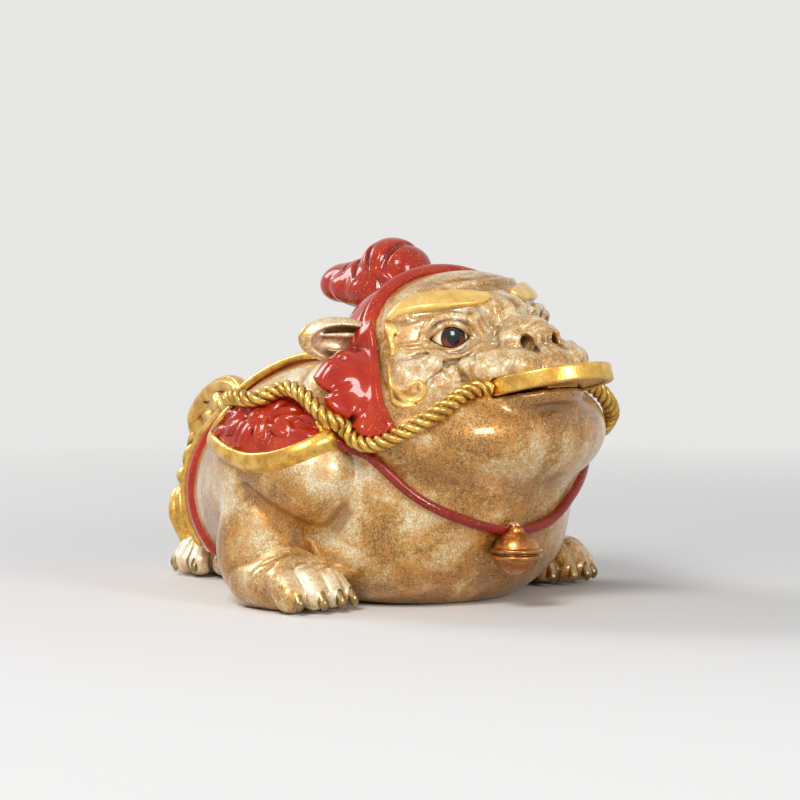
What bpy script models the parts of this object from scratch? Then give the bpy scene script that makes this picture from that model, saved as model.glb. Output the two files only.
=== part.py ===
"""Money toad figurine: a one-piece painted casting, modelled solid, and the coin held in its mouth.

The toad looks along -Y and rests on Z = 0; lengths are in metres. The casting is built the way it is
sculpted: soft masses fused into one skin, the dress laid on that skin (head band with its knot, saddle cloth,
shoulder flaps, rope, bow with its tassel, collar with its bell), and all of it fused again into one piece.
"""

import math

import bmesh
import bpy
from mathutils import Euler, Matrix, Vector
from mathutils.bvhtree import BVHTree

MM = 0.001

# Driving sizes of the body
TRUNK_LENGTH = 100 * MM
TRUNK_WIDTH = 84 * MM
TRUNK_HEIGHT = 63 * MM
TRUNK_Y = 10 * MM
RUMP_LENGTH = 76 * MM
RUMP_WIDTH = 54 * MM
RUMP_HEIGHT = 56 * MM
RUMP_BACK = 26 * MM
HUMP_LENGTH = 88 * MM
HUMP_WIDTH = 66 * MM
HUMP_HEIGHT = 68 * MM
CHEST_WIDTH = 86 * MM
CHEST_DEPTH = 66 * MM
POUCH_WIDTH = 84 * MM
POUCH_DEPTH = 66 * MM
POUCH_HEIGHT = 40 * MM
HEAD_WIDTH = 60 * MM
HEAD_DEPTH = 48 * MM
HEAD_HEIGHT = 35 * MM
HEAD_Y = -22 * MM
HEAD_Z = 72 * MM
MUZZLE_WIDTH = 40 * MM
EAR_LENGTH = 15 * MM
LEG_SPREAD = 100 * MM
FOOT_LENGTH = 26 * MM
TOE_RADIUS = 3.5 * MM
CLAW_RADIUS = 1.9 * MM
EYE_SPREAD = 35 * MM
EYE_RADIUS = 4.6 * MM
FACE_ROLL = math.radians(3)

# Driving sizes of the dress
HOOD_THICKNESS = 1.6 * MM
CLOTH_WIDTH = 32 * MM
CLOTH_THICKNESS = 1.4 * MM
BORDER_RADIUS = 1.2 * MM
ROPE_RADIUS = 1.9 * MM
ROPE_PITCH = 9 * MM
FLAP_LENGTH = 51 * MM
FLAP_HEIGHT = 23 * MM
FLAP_THICKNESS = 1.6 * MM
FLAP_RIM_RADIUS = 1.9 * MM
COLLAR_RADIUS = 1.4 * MM
BELL_RADIUS = 6.2 * MM
TASSEL_LENGTH = 19 * MM
TASSEL_RADIUS = 6.5 * MM

# Driving sizes of the coin and of its seat between the lips
COIN_RADIUS = 18 * MM
COIN_THICKNESS = 4.6 * MM
COIN_HOLE = 8 * MM
COIN_RIM_WIDTH = 2.6 * MM
COIN_RIM_HEIGHT = 0.5 * MM
COIN_CENTRE_Y = -59.5 * MM
COIN_CENTRE_Z = 61 * MM
COIN_TILT = math.radians(13.6)
SEAT_CLEARANCE = 0.3 * MM

# Mesh sizes
SKIN_VOXEL = 1.5 * MM
CASTING_VOXEL = 0.85 * MM
CASTING_TRIANGLES = 11400

SIDES = (-1, 1)
HEAD = Vector((0, HEAD_Y, HEAD_Z))


def at(x, y, z):
    """A point or an offset given in millimetres."""
    return Vector((x, y, z)) * MM


def mirrored(vector, side):
    """The vector on one side of the toad, written for its left (+X) side."""
    return Vector((vector.x * side, vector.y, vector.z))


def smooth_path(points, step):
    """Points about one step apart on a smooth curve through the given points."""
    ends = [2 * points[0] - points[1]] + list(points) + [2 * points[-1] - points[-2]]
    path = []
    for before, start, end, after in zip(ends, ends[1:], ends[2:], ends[3:]):
        count = max(1, round((end - start).length / step))
        for i in range(count):
            t = i / count
            path.append(
                0.5 * (2 * start + (end - before) * t
                       + (2 * before - 5 * start + 4 * end - after) * t**2
                       + (3 * start - before - 3 * end + after) * t**3)
            )
    path.append(ends[-2])
    return path


def twisted_strand(path, normals, offset, pitch, phase):
    """The centreline of one strand of a rope laid along the path."""
    strand = []
    travelled = 0.0
    for i, point in enumerate(path):
        ahead = path[min(i + 1, len(path) - 1)]
        behind = path[max(i - 1, 0)]
        along = (ahead - behind).normalized()
        if i:
            travelled += (point - path[i - 1]).length
        turn = phase + 2 * math.pi * travelled / pitch
        across = along.cross(normals[i]).normalized()
        upward = across.cross(along)
        strand.append(point + offset * (math.cos(turn) * across + math.sin(turn) * upward))
    return strand


class Clay:
    """Closed shapes gathered in one mesh, to be fused into a single skin."""

    def __init__(self):
        self.shapes = bmesh.new()

    def add_mesh(self, mesh):
        self.shapes.from_mesh(mesh)
        bpy.data.meshes.remove(mesh)

    def ellipsoid(self, centre, radii, turn=(0, 0, 0)):
        """An ellipsoid; turn is in degrees about X, Y and Z."""
        angles = Euler([math.radians(a) for a in turn])
        self.add_sphere(Matrix.LocRotScale(centre, angles, radii))

    def add_sphere(self, place):
        """A unit sphere put in its place, made apart and then added, which is quick in a big mesh."""
        ball = bmesh.new()
        bmesh.ops.create_uvsphere(ball, u_segments=24, v_segments=14, radius=1.0, matrix=place)
        mesh = bpy.data.meshes.new("ball")
        ball.to_mesh(mesh)
        ball.free()
        self.add_mesh(mesh)

    def pair(self, centre, radii, turn=(0, 0, 0)):
        """The same ellipsoid on both sides of the toad."""
        for side in SIDES:
            self.ellipsoid(mirrored(centre, side), radii,
                           (turn[0], turn[1] * side, turn[2] * side))

    def tube(self, points, radius, tips=(1.0, 1.0), closed=False):
        """A round tube along the points; tips scale its radius at the first and last point."""
        curve = bpy.data.curves.new("tube", "CURVE")
        curve.dimensions = "3D"
        curve.bevel_depth = radius
        curve.bevel_resolution = 2
        curve.use_fill_caps = True
        spline = curve.splines.new("POLY")
        spline.points.add(len(points) - 1)
        spline.use_cyclic_u = closed
        for i, point in enumerate(points):
            share = i / (len(points) - 1)
            spline.points[i].co = (*point, 1)
            spline.points[i].radius = tips[0] + (tips[1] - tips[0]) * share
        rod = bpy.data.objects.new("tube", curve)
        bpy.context.scene.collection.objects.link(rod)
        graph = bpy.context.evaluated_depsgraph_get()
        mesh = bpy.data.meshes.new_from_object(rod.evaluated_get(graph))
        bpy.data.objects.remove(rod)
        bpy.data.curves.remove(curve)
        self.add_mesh(mesh)

    def fused(self, name, voxel, smoothing):
        """One closed skin around everything gathered here."""
        mesh = bpy.data.meshes.new(name)
        self.shapes.to_mesh(mesh)
        self.shapes.free()
        body = bpy.data.objects.new(name, mesh)
        bpy.context.scene.collection.objects.link(body)
        remesh = body.modifiers.new("Fuse", "REMESH")
        remesh.mode = "VOXEL"
        remesh.voxel_size = voxel
        soften = body.modifiers.new("Soften", "SMOOTH")
        soften.factor = 0.5
        soften.iterations = smoothing
        apply_modifiers(body)
        return body


def apply_modifiers(body):
    """Replaces an object's mesh with what its modifiers make of it."""
    graph = bpy.context.evaluated_depsgraph_get()
    mesh = bpy.data.meshes.new_from_object(body.evaluated_get(graph))
    old = body.data
    body.modifiers.clear()
    body.data = mesh
    bpy.data.meshes.remove(old)


def boolean(body, cutter, operation):
    """Joins or cuts with a solid that has no further use."""
    modifier = body.modifiers.new(operation.title(), "BOOLEAN")
    modifier.operation = operation
    modifier.object = cutter
    apply_modifiers(body)
    bpy.data.objects.remove(cutter)


def solid(name, shapes):
    """A scene object from a bmesh of closed shapes."""
    mesh = bpy.data.meshes.new(name)
    shapes.to_mesh(mesh)
    shapes.free()
    body = bpy.data.objects.new(name, mesh)
    bpy.context.scene.collection.objects.link(body)
    return body


def disc_solid(name, radius, thickness, place):
    shapes = bmesh.new()
    bmesh.ops.create_cone(shapes, cap_ends=True, segments=48, radius1=radius,
                          radius2=radius, depth=thickness, matrix=place)
    return solid(name, shapes)


class Skin:
    """The fused body, which the dress is laid on."""

    def __init__(self, body):
        self.body = body
        graph = bpy.context.evaluated_depsgraph_get()
        self.tree = BVHTree.FromObject(body, graph)

    def on(self, point, lift=0.0):
        """The nearest point of the skin, lifted off it, and the skin's normal there."""
        found, normal, _, _ = self.tree.find_nearest(point)
        return found + normal * lift, normal

    def laid(self, points, step, lift):
        """A smooth path laid on the skin through the points, and the normals along it."""
        pairs = [self.on(point, lift) for point in smooth_path(points, step)]
        return [pair[0] for pair in pairs], [pair[1] for pair in pairs]

    def patch(self, clay, inside, thickness):
        """Adds the part of the skin that inside() picks out, thickened into a pad of cloth."""
        shapes = bmesh.new()
        shapes.from_mesh(self.body.data)
        outside = [face for face in shapes.faces if not inside(face.calc_center_median())]
        bmesh.ops.delete(shapes, geom=outside, context="FACES")
        pad = solid("pad", shapes)
        thicken = pad.modifiers.new("Thicken", "SOLIDIFY")
        thicken.thickness = 2 * thickness
        thicken.offset = 0
        apply_modifiers(pad)
        clay.add_mesh(pad.data.copy())
        bpy.data.objects.remove(pad)


def body_skin():
    """The trunk, head and upper legs, as soft masses fused together."""
    clay = Clay()
    clay.ellipsoid(Vector((0, TRUNK_Y, 30 * MM)), Vector((TRUNK_WIDTH, TRUNK_LENGTH, TRUNK_HEIGHT)) / 2)
    clay.ellipsoid(Vector((0, TRUNK_Y + RUMP_BACK, RUMP_HEIGHT / 2 - 2 * MM)),
                   Vector((RUMP_WIDTH, RUMP_LENGTH, RUMP_HEIGHT + 2 * MM)) / 2)
    clay.ellipsoid(Vector((0, 6 * MM, HUMP_HEIGHT - 24 * MM)),
                   Vector((HUMP_WIDTH / 2, HUMP_LENGTH / 2, 24 * MM)))
    clay.ellipsoid(at(0, -15, 18), Vector((CHEST_WIDTH / 2, CHEST_DEPTH / 2, 22 * MM)))
    clay.ellipsoid(at(0, -17, 32), Vector((CHEST_WIDTH / 2, CHEST_DEPTH / 2 + 3 * MM, 22 * MM)))
    clay.pair(at(35, -18, 55), at(10, 15, 13))
    clay.ellipsoid(HEAD + at(0, -9, -25), Vector((POUCH_WIDTH, POUCH_DEPTH, POUCH_HEIGHT)) / 2)
    clay.ellipsoid(HEAD, Vector((HEAD_WIDTH, HEAD_DEPTH, HEAD_HEIGHT)) / 2)
    clay.ellipsoid(HEAD + at(0, -8, 5), Vector((HEAD_WIDTH / 2 - 6 * MM, 15 * MM, 13 * MM)))
    clay.ellipsoid(HEAD + at(0, -27, -7), Vector((MUZZLE_WIDTH / 2, 15.5 * MM, 8 * MM)))
    clay.pair(HEAD + at(20, -8, -11), at(13.5, 15, 14))
    clay.pair(Vector((LEG_SPREAD / 2 - 7 * MM, 0, 37 * MM)), at(13.5, 22, 20))
    clay.pair(Vector((LEG_SPREAD / 2 - 6 * MM, -11 * MM, 37 * MM)), at(13, 17, 14.5))
    clay.pair(Vector((LEG_SPREAD / 2 - 4 * MM, 3 * MM, 16 * MM)), at(12.5, 13, 17))
    clay.pair(Vector((LEG_SPREAD / 2, -12 * MM, 7.5 * MM)),
              Vector((11.5 * MM, FOOT_LENGTH / 2, 8.5 * MM)))
    return clay.fused("skin", SKIN_VOXEL, 10)


def add_front_feet(clay):
    """Four toes with claws on each front foot, fanned out from the sole, and the heel."""
    for side in SIDES:
        sole = mirrored(Vector((LEG_SPREAD / 2, -12 * MM, 7.5 * MM)), side)
        clay.ellipsoid(sole + mirrored(at(-1, 12, -0.5), side), at(9.5, 9, 8))
        for outward, reach, height, thickness in ((7.4, 8, 0.9, 1.12), (2.2, 11.6, 0.7, 0.94),
                                                  (-3.6, 12.4, 0.7, 0.86), (-9.4, 10.4, 0.7, 0.8)):
            knuckle = sole + mirrored(at(outward * 0.9, -reach * 0.6, 1.6), side)
            tip = sole + mirrored(at(outward, -reach, height - 3.8), side)
            add_toe(clay, sole, knuckle, tip, thickness)


def add_toe(clay, root, knuckle, tip, thickness=1.0):
    """A toe from its root over the knuckle to the tip, with a claw near the ground."""
    clay.tube(smooth_path([root, knuckle, tip], 2.5 * MM), TOE_RADIUS * thickness, (1.0, 1.0))
    clay.ellipsoid(tip, Vector((TOE_RADIUS, TOE_RADIUS, TOE_RADIUS)) * 1.08 * thickness)
    out = Vector((tip.x - root.x, tip.y - root.y, 0)).normalized()
    nail = tip + out * TOE_RADIUS * 0.85 * thickness
    clay.tube([nail + at(0, 0, 1.2), nail + out * 1.0 * MM + at(0, 0, -2.0)], CLAW_RADIUS, (1.0, 0.7))


def add_rear_foot(clay):
    """The single hind foot, turned to the toad's right, under the rump."""
    sole = at(0, 68, 7)
    clay.ellipsoid(sole, at(11, 12, 8))
    clay.ellipsoid(sole + at(3, -10, 5), at(10, 12, 9))
    for heading in (35, 68, 101, 134):
        turn = math.radians(heading)
        out = Vector((-math.sin(turn), math.cos(turn), 0))
        add_toe(clay, sole, sole + out * 7.5 * MM + at(0, 0, 1.5), sole + out * 12.5 * MM + at(0, 0, -3.3))


def on_face(x, y, z, side):
    """A place on the head, from the head's middle in millimetres, turned with the face's roll."""
    return HEAD + Matrix.Rotation(-FACE_ROLL, 3, "Y") @ mirrored(at(x, y, z), side)


def add_face(clay, skin):
    """Brows, eyes in their lids, nose, lip puffs and ears."""
    spread = EYE_SPREAD / 2 / MM
    for side in SIDES:
        def near_eye(x, y, z):
            return on_face(spread + x, -17.6 + y, 2 + z, side)

        clay.ellipsoid(near_eye(0, 0, 0), Vector((EYE_RADIUS, EYE_RADIUS, EYE_RADIUS * 0.86)))
        lid = [near_eye(8, 4, -1), near_eye(3.5, -1.6, 3.8), near_eye(-3.5, -4.4, 3.6), near_eye(-8, -5.4, -1)]
        clay.tube(skin.laid(lid, 2 * MM, 0.9 * MM)[0], 1.4 * MM, (0.6, 0.7))
        bag = [near_eye(8, 4, -2), near_eye(0, -3.6, -4.6), near_eye(-7, -5.6, -2.5)]
        clay.tube(skin.laid(bag, 2 * MM, 0.5 * MM)[0], 1.3 * MM, (0.6, 0.7))
        brow = [on_face(29, -9, 7, side), on_face(23, -17, 10.5, side),
                on_face(15, -21, 12.5, side), on_face(7, -22.4, 12.6, side)]
        clay.tube(skin.laid(brow, 2 * MM, 0.6 * MM)[0], 2.6 * MM, (0.4, 1.1))
        clay.ellipsoid(on_face(6.2, -32.6, 0, side), at(3.9, 4.2, 3.8))
        clay.ellipsoid(on_face(9.5, -35.6, -5.6, side), at(5.6, 5.4, 4.4))
        clay.ellipsoid(on_face(3.2, -37.4, -5.8, side), at(3.2, 4.2, 3.6))
        clay.ellipsoid(on_face(16.5, -30.5, -6.2, side), at(5.2, 5.4, 4.2))
        for puff, radius in (((24.3, -18.3, -4.2), 3.4), ((20.7, -21.7, -7.4), 3.1), ((29.4, -14, -9), 5)):
            clay.ellipsoid(on_face(*puff, side), at(radius, radius, radius))
        add_ear(clay, side)
    clay.ellipsoid(on_face(0, -31, 1.2, 1), at(8.4, 7, 5))
    clay.ellipsoid(on_face(0, -24, 5.5, 1), at(5.5, 6, 6))
    lip = [at(-20, -47, 55), at(-14, -56.5, 57), at(-7, -61.5, 58.4), at(0, -63, 59)]
    lip += [mirrored(p, -1) for p in reversed(lip[:-1])]
    clay.tube(smooth_path(lip, 3 * MM), 3 * MM)


def add_ear(clay, side):
    """An ear with a cupped front, standing out sideways behind the edge of the hood."""
    root = on_face(HEAD_WIDTH / MM / 2 - 3, 5, 1.5, side)
    reach = mirrored(Vector((EAR_LENGTH, EAR_LENGTH * 0.6, 3 * MM)), side)
    upper = [root + at(0, -1, 6), root + reach * 0.6 + at(0, -2, 5.0), root + reach]
    lower = [root + at(0, 1, -6), root + reach * 0.6 + at(0, 0, -5.0), root + reach]
    clay.tube(smooth_path(upper, 2.5 * MM), 1.7 * MM)
    clay.tube(smooth_path(lower, 2.5 * MM), 1.5 * MM)
    clay.ellipsoid(root + reach * 0.42 + at(0, 2.0, 0),
                   Vector((EAR_LENGTH * 0.6, 2.2 * MM, 6.0 * MM)), (0, 0, 30 * side))


def add_hood(clay, skin):
    """The hood round the face, the pointed ends of cloth on its sides, and the knot on the crown."""
    edge = HEAD + at(0, -1.5, 0)
    tilt = Vector((0, -1, 0.293)).normalized()
    swell = at(1, 1, 1) * (HOOD_THICKNESS / MM)
    lobes = [(HEAD, Vector((HEAD_WIDTH, HEAD_DEPTH, HEAD_HEIGHT)) / 2 + swell),
             (HEAD + at(0, -8, 5), Vector((HEAD_WIDTH / 2 - 6 * MM, 15 * MM, 13 * MM)) + swell)]
    for side in SIDES:
        lobes.append((HEAD + mirrored(at(20, -8, -11), side), at(13.5, 15, 14) + swell))
        lobes.append((HEAD + mirrored(at(24, -6, -17), side), at(13, 13, 9) + swell))
    for centre, radii in lobes:
        lobe = bmesh.new()
        bmesh.ops.create_uvsphere(lobe, u_segments=48, v_segments=24, radius=1.0,
                                  matrix=Matrix.LocRotScale(centre, None, radii))
        cut = bmesh.ops.bisect_plane(lobe, geom=lobe.verts[:] + lobe.edges[:] + lobe.faces[:],
                                     plane_co=edge, plane_no=tilt, clear_outer=True)
        rim = [item for item in cut["geom_cut"] if isinstance(item, bmesh.types.BMEdge)]
        bmesh.ops.contextual_create(lobe, geom=rim)
        half = bpy.data.meshes.new("hood")
        lobe.to_mesh(half)
        lobe.free()
        clay.add_mesh(half)
    half = [on_face(*p, 1) for p in ((0, 4.6, 18.6), (9, 4.4, 17.8), (18, 3.6, 15), (25, 2, 9.6), (29.5, -0.4, 1),
                                     (32, -2.8, -7), (32.4, -5, -14), (29.6, -7.8, -21))]
    rim, _ = skin.laid([mirrored(p, -1) for p in reversed(half[1:])] + half, 3 * MM, HOOD_THICKNESS * 0.5)
    clay.tube(rim, HOOD_THICKNESS * 1.1)
    for side in SIDES:
        root = mirrored(at(34, -24, 60), side)
        for tip, half_width in ((at(38, -13.6, 68), 4.4), (at(42.5, -13.5, 62.5), 4.8), (at(44, -18.5, 56), 5.2),
                                (at(43, -27.5, 52.5), 5.2), (at(38, -34, 50), 4.4)):
            clay_tip, _ = skin.on(mirrored(tip, side), 0.8 * MM)
            add_leaf(clay, root, clay_tip, mirrored(at(0.8, -0.3, 0.5), side), half_width * MM, 2.4 * MM)
    knot = HEAD + at(0, 21, 19)
    clay.ellipsoid(knot, at(9.6, 8.6, 8.6))
    clay.ellipsoid(knot + at(0, -6.4, 0), at(7.8, 5.6, 6.4), (-10, 0, 0))
    clay.ellipsoid(knot + at(0, 9, -3), at(8.2, 8, 6))
    clay.ellipsoid(knot + at(0, 18.5, -4.4), at(7.4, 7.6, 5.6), (-12, 0, 0))
    clay.ellipsoid(knot + at(0, 1, -7), at(11, 15, 6))
    for side in SIDES:
        clay.ellipsoid(knot + mirrored(at(5.4, 4, -3.5), side), at(4.4, 5, 5))
        clay.ellipsoid(knot + mirrored(at(6.4, 13, -5.4), side), at(3.2, 4.6, 3.6))


def add_leaf(clay, start, end, normal, half_width, half_thickness):
    """A pointed leaf of cloth from start to end, lying flat on the skin."""
    along = end - start
    across = normal.cross(along).normalized()
    facing = along.normalized().cross(across)
    turn = Matrix((along.normalized(), across, facing)).transposed()
    place = Matrix.LocRotScale((start + end) / 2, turn.to_quaternion(),
                               Vector((along.length / 2 + 2 * MM, half_width, half_thickness)))
    clay.add_sphere(place)


def add_saddle_cloth(clay, skin):
    """The strip of cloth down the back and rump, and its gilt border."""
    half = CLOTH_WIDTH / 2

    def inside(point):
        widening = 8 * MM * min(1, max(0, (point.y - 30 * MM) / (30 * MM)))
        return point.y > 6 * MM and point.z > 8 * MM and abs(point.x) < half + widening

    skin.patch(clay, inside, CLOTH_THICKNESS)
    for side in SIDES:
        edge = [at(15, 8, 70), at(16, 25, 66), at(18, 45, 56), at(20, 58, 48),
                at(20, 64, 36), at(19, 66, 22), at(17, 62, 10)]
        path, _ = skin.laid([mirrored(p, side) for p in edge], 3 * MM, CLOTH_THICKNESS * 0.8)
        clay.tube(path, BORDER_RADIUS)


def leaf_outline(length, height, count):
    """Points round a leaf with two pointed ends, about its middle."""
    outline = []
    for i in range(count):
        turn = 2 * math.pi * i / count
        across = math.copysign(1 - abs(math.cos(turn)) ** 2.4, math.sin(turn))
        outline.append((math.cos(turn) * length / 2, across * height / 2))
    return outline


def add_shoulder_flaps(clay, skin):
    """The leaf-shaped saddle flaps with their gilt rims, and the flower in relief on each."""
    for side in SIDES:
        middle, _ = skin.on(mirrored(at(49, -3, 47.5), side))
        facing = mirrored(Vector((0.77, -0.04, 0.63)), side).normalized()
        along = Vector((0, 1, -0.07))
        along = (along - along.dot(facing) * facing).normalized()
        across = facing.cross(along)
        place = Matrix.Translation(middle) @ Matrix((along, across, facing)).transposed().to_4x4()
        back_to_flap = place.inverted()

        def inside(point):
            local = back_to_flap @ point
            along_share = abs(local.x) / (FLAP_LENGTH / 2)
            limit = FLAP_HEIGHT / 2 * (1 - along_share ** 2.4) if along_share < 1 else 0
            return abs(local.y) < limit and abs(local.z) < 20 * MM

        skin.patch(clay, inside, FLAP_THICKNESS)
        rim = [skin.on(place @ Vector((x, y, 0)), FLAP_THICKNESS)[0]
               for x, y in leaf_outline(FLAP_LENGTH, FLAP_HEIGHT, 40)]
        clay.tube(rim, FLAP_RIM_RADIUS, closed=True)
        centre, _ = skin.on(middle, FLAP_THICKNESS)
        clay.ellipsoid(centre, at(3.2, 3.2, 3.2))
        for i in range(8):
            spin = 2 * math.pi * i / 8
            offset = along * math.cos(spin) * 8.5 * MM + across * math.sin(spin) * 5.6 * MM
            petal, _ = skin.on(middle + offset, FLAP_THICKNESS)
            clay.ellipsoid(petal, at(2.9, 2.9, 2.3))


def add_rope(clay, skin):
    """Two twisted ropes from the corners of the mouth, over the shoulders, to the bow."""
    for side in SIDES:
        slack = 2.2 * MM if side > 0 else 0
        points = [mirrored(at(*p), side) for p in (
            (16, -55, 60), (19, -53, 59), (27, -51, 56), (33, -48, 50.6), (38.5, -43, 49), (42, -37, 47.6),
            (44.4, -30, 47.8), (45.4, -23.5, 50.6), (45.6, -17, 54.6), (44, -9, 58.2), (40.5, 1, 58.6),
            (36, 11, 56.8), (31, 22, 56.2), (25, 34, 56.6), (16, 46, 56), (7, 57, 53))]
        path, normals = skin.laid(points, 1.5 * MM, ROPE_RADIUS * 0.9)
        for i, point in enumerate(path):
            off_cheek = max(0, 1 - abs(point.y + 46 * MM) / (12 * MM))
            path[i] = point + normals[i] * slack * off_cheek
        for strand in range(2):
            line = twisted_strand(path, normals, ROPE_RADIUS * 0.5, ROPE_PITCH, strand * math.pi)
            clay.tube(line, ROPE_RADIUS * 0.62)


def add_bow(clay, skin):
    """The gilt bow on the rump and its tassel, hanging down the back."""
    clay.ellipsoid(at(0, 66, 47), at(8, 9, 9))
    clay.ellipsoid(at(0, 74, 41), at(4.5, 7, 6))
    for side in SIDES:
        for radius, points in (
                (2.7, ((0.5, 81, 40), (2.5, 78.5, 45.6), (4.5, 73, 50.5), (7, 65.5, 54.4), (9.5, 57.5, 56.6),
                       (12, 50, 56.6), (14, 45, 54))),
                (2.5, ((14.5, 45.5, 54), (14.5, 46, 51), (13.5, 49, 47.6), (11, 57, 45.8), (7, 66, 46.2),
                       (4.5, 72, 48))),
                (2.2, ((4, 67, 47), (6.5, 65, 51.5), (9.5, 60.5, 52), (11, 57.5, 49.5), (8.5, 60.5, 46.5)))):
            clay.tube(smooth_path([mirrored(at(*p), side) for p in points], 3 * MM), radius * MM)
        clay.ellipsoid(mirrored(at(13, 47, 51.5), side), at(4.4, 5.4, 6))
        clay.ellipsoid(mirrored(at(8, 60, 50), side), at(4.2, 13, 5))
    cord = smooth_path([at(-1, 77, 44), at(-2, 79, 39), at(-3, 79.4, 34), at(-3, 79, 30)], 2 * MM)
    clay.tube(cord, 2.6 * MM)
    bead = at(-3, 79, 28.4)
    clay.ellipsoid(bead, at(4.6, 4.2, 3.6))
    clay.tube([at(-2, 69, 30), bead], 3 * MM)
    for i in range(5):
        spread = (i - 2) / 2
        top = bead + at(spread * 2, 0, -1)
        middle = bead + Vector((spread * TASSEL_RADIUS, -2 * MM, -TASSEL_LENGTH * 0.5))
        low = bead + Vector((spread * TASSEL_RADIUS * 0.75, -5 * MM, -TASSEL_LENGTH))
        clay.tube(smooth_path([top, middle, low], 3 * MM), 2.6 * MM, (0.9, 0.7))
    clay.ellipsoid(bead + Vector((0, -5 * MM, -TASSEL_LENGTH * 0.55)),
                   Vector((TASSEL_RADIUS, 5 * MM, TASSEL_LENGTH * 0.48)))


def add_collar(clay, skin):
    """The collar under the throat and the round bell that hangs on it."""
    half = [at(-46, -27, 46.4), at(-43, -37.4, 37.5), at(-34, -45.2, 29.5), at(-19, -49, 23.5), at(0, -50, 20.8)]
    points = half + [mirrored(p, -1) for p in reversed(half[:-1])]
    path, _ = skin.laid(points, 3 * MM, COLLAR_RADIUS * 0.6)
    clay.tube(path, COLLAR_RADIUS)
    hanger, _ = skin.on(at(-4.5, -51, 21), COLLAR_RADIUS * 1.5)
    bell = hanger + Vector((0, -0.15 * BELL_RADIUS, -BELL_RADIUS))
    clay.ellipsoid(bell, Vector((BELL_RADIUS,) * 3))
    clay.tube([hanger + at(0, 0, 1.5), bell + Vector((0, 0, BELL_RADIUS * 0.9))], 1.3 * MM)
    ring = [bell + Vector((math.cos(turn), math.sin(turn), 0.06)) * BELL_RADIUS
            for turn in (2 * math.pi * i / 20 for i in range(20))]
    clay.tube(ring, 0.9 * MM, closed=True)


def coin_place():
    """The middle of the coin, turned up at the front."""
    centre = Vector((0, COIN_CENTRE_Y, COIN_CENTRE_Z))
    return Matrix.Translation(centre) @ Matrix.Rotation(-COIN_TILT, 4, "X")


def make_casting(collection):
    """The whole toad with its dress, as one closed piece with a flat underside and a seat for the coin."""
    skin = Skin(body_skin())
    clay = Clay()
    clay.add_mesh(skin.body.data.copy())
    add_front_feet(clay)
    add_rear_foot(clay)
    add_face(clay, skin)
    add_hood(clay, skin)
    add_saddle_cloth(clay, skin)
    add_shoulder_flaps(clay, skin)
    add_rope(clay, skin)
    add_bow(clay, skin)
    add_collar(clay, skin)
    casting = clay.fused("toad_casting", CASTING_VOXEL, 2)
    bpy.data.objects.remove(skin.body)
    casting.data.calc_loop_triangles()
    reduce = casting.modifiers.new("Reduce", "DECIMATE")
    reduce.ratio = min(1.0, CASTING_TRIANGLES / len(casting.data.loop_triangles))
    apply_modifiers(casting)
    ground = bmesh.new()
    bmesh.ops.create_cube(ground, size=400 * MM, matrix=Matrix.Translation((0, 0, -200 * MM)))
    boolean(casting, solid("ground", ground), "DIFFERENCE")
    seat = disc_solid("seat", COIN_RADIUS + SEAT_CLEARANCE, COIN_THICKNESS + 2 * SEAT_CLEARANCE, coin_place())
    boolean(casting, seat, "DIFFERENCE")
    adopt(casting, collection, material("patina", (0.52, 0.33, 0.13), 0.3, 0.5))
    return casting


def make_coin(collection):
    """The round coin with its square hole and raised rims."""
    place = coin_place()
    blank_thickness = COIN_THICKNESS - 2 * COIN_RIM_HEIGHT
    coin = disc_solid("coin", COIN_RADIUS, COIN_THICKNESS, place)
    for face in SIDES:
        recess_place = place @ Matrix.Translation((0, 0, face * COIN_THICKNESS / 2))
        recess = disc_solid("recess", COIN_RADIUS - COIN_RIM_WIDTH, 2 * COIN_RIM_HEIGHT, recess_place)
        boolean(coin, recess, "DIFFERENCE")
    punch = bmesh.new()
    bmesh.ops.create_cube(punch, size=1.0,
                          matrix=place @ Matrix.Diagonal((COIN_HOLE, COIN_HOLE, 3 * blank_thickness, 1)))
    boolean(coin, solid("punch", punch), "DIFFERENCE")
    adopt(coin, collection, material("gilt", (0.83, 0.58, 0.18), 0.28, 1.0))
    return coin


def material(name, colour, roughness, metallic):
    made = bpy.data.materials.new(name)
    made.use_nodes = True
    shader = made.node_tree.nodes["Principled BSDF"]
    shader.inputs["Base Color"].default_value = (*colour, 1)
    shader.inputs["Roughness"].default_value = roughness
    shader.inputs["Metallic"].default_value = metallic
    return made


def adopt(body, collection, finish):
    """Gives a finished piece its material, smooth shading and collection."""
    body.data.materials.clear()
    body.data.materials.append(finish)
    body.data.shade_smooth()
    body.data.set_sharp_from_angle(angle=math.radians(50))
    for old in body.users_collection:
        old.objects.unlink(body)
    collection.objects.link(body)


def centre_on_base(pieces):
    """Moves the pieces together, so that the origin is under the middle of their box."""
    corners = [vertex.co for piece in pieces for vertex in piece.data.vertices]
    low = Vector([min(corner[axis] for corner in corners) for axis in range(3)])
    high = Vector([max(corner[axis] for corner in corners) for axis in range(3)])
    shift = Vector((-(low.x + high.x) / 2, -(low.y + high.y) / 2, -low.z))
    for piece in pieces:
        piece.data.transform(Matrix.Translation(shift))


def main():
    for old in list(bpy.data.objects):
        bpy.data.objects.remove(old)
    collection = bpy.data.collections.new("money_toad")
    bpy.context.scene.collection.children.link(collection)
    centre_on_base([make_casting(collection), make_coin(collection)])


main()
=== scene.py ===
"""Money toad figurine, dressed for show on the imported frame.

The forms are held as distance fields in millimetres in the modeller's own axes: the toad looks along -Y, its
right is -X, and it stands on Z = 0. A field is cast into a closed mesh and moved into the frame, in metres.
"""

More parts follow.
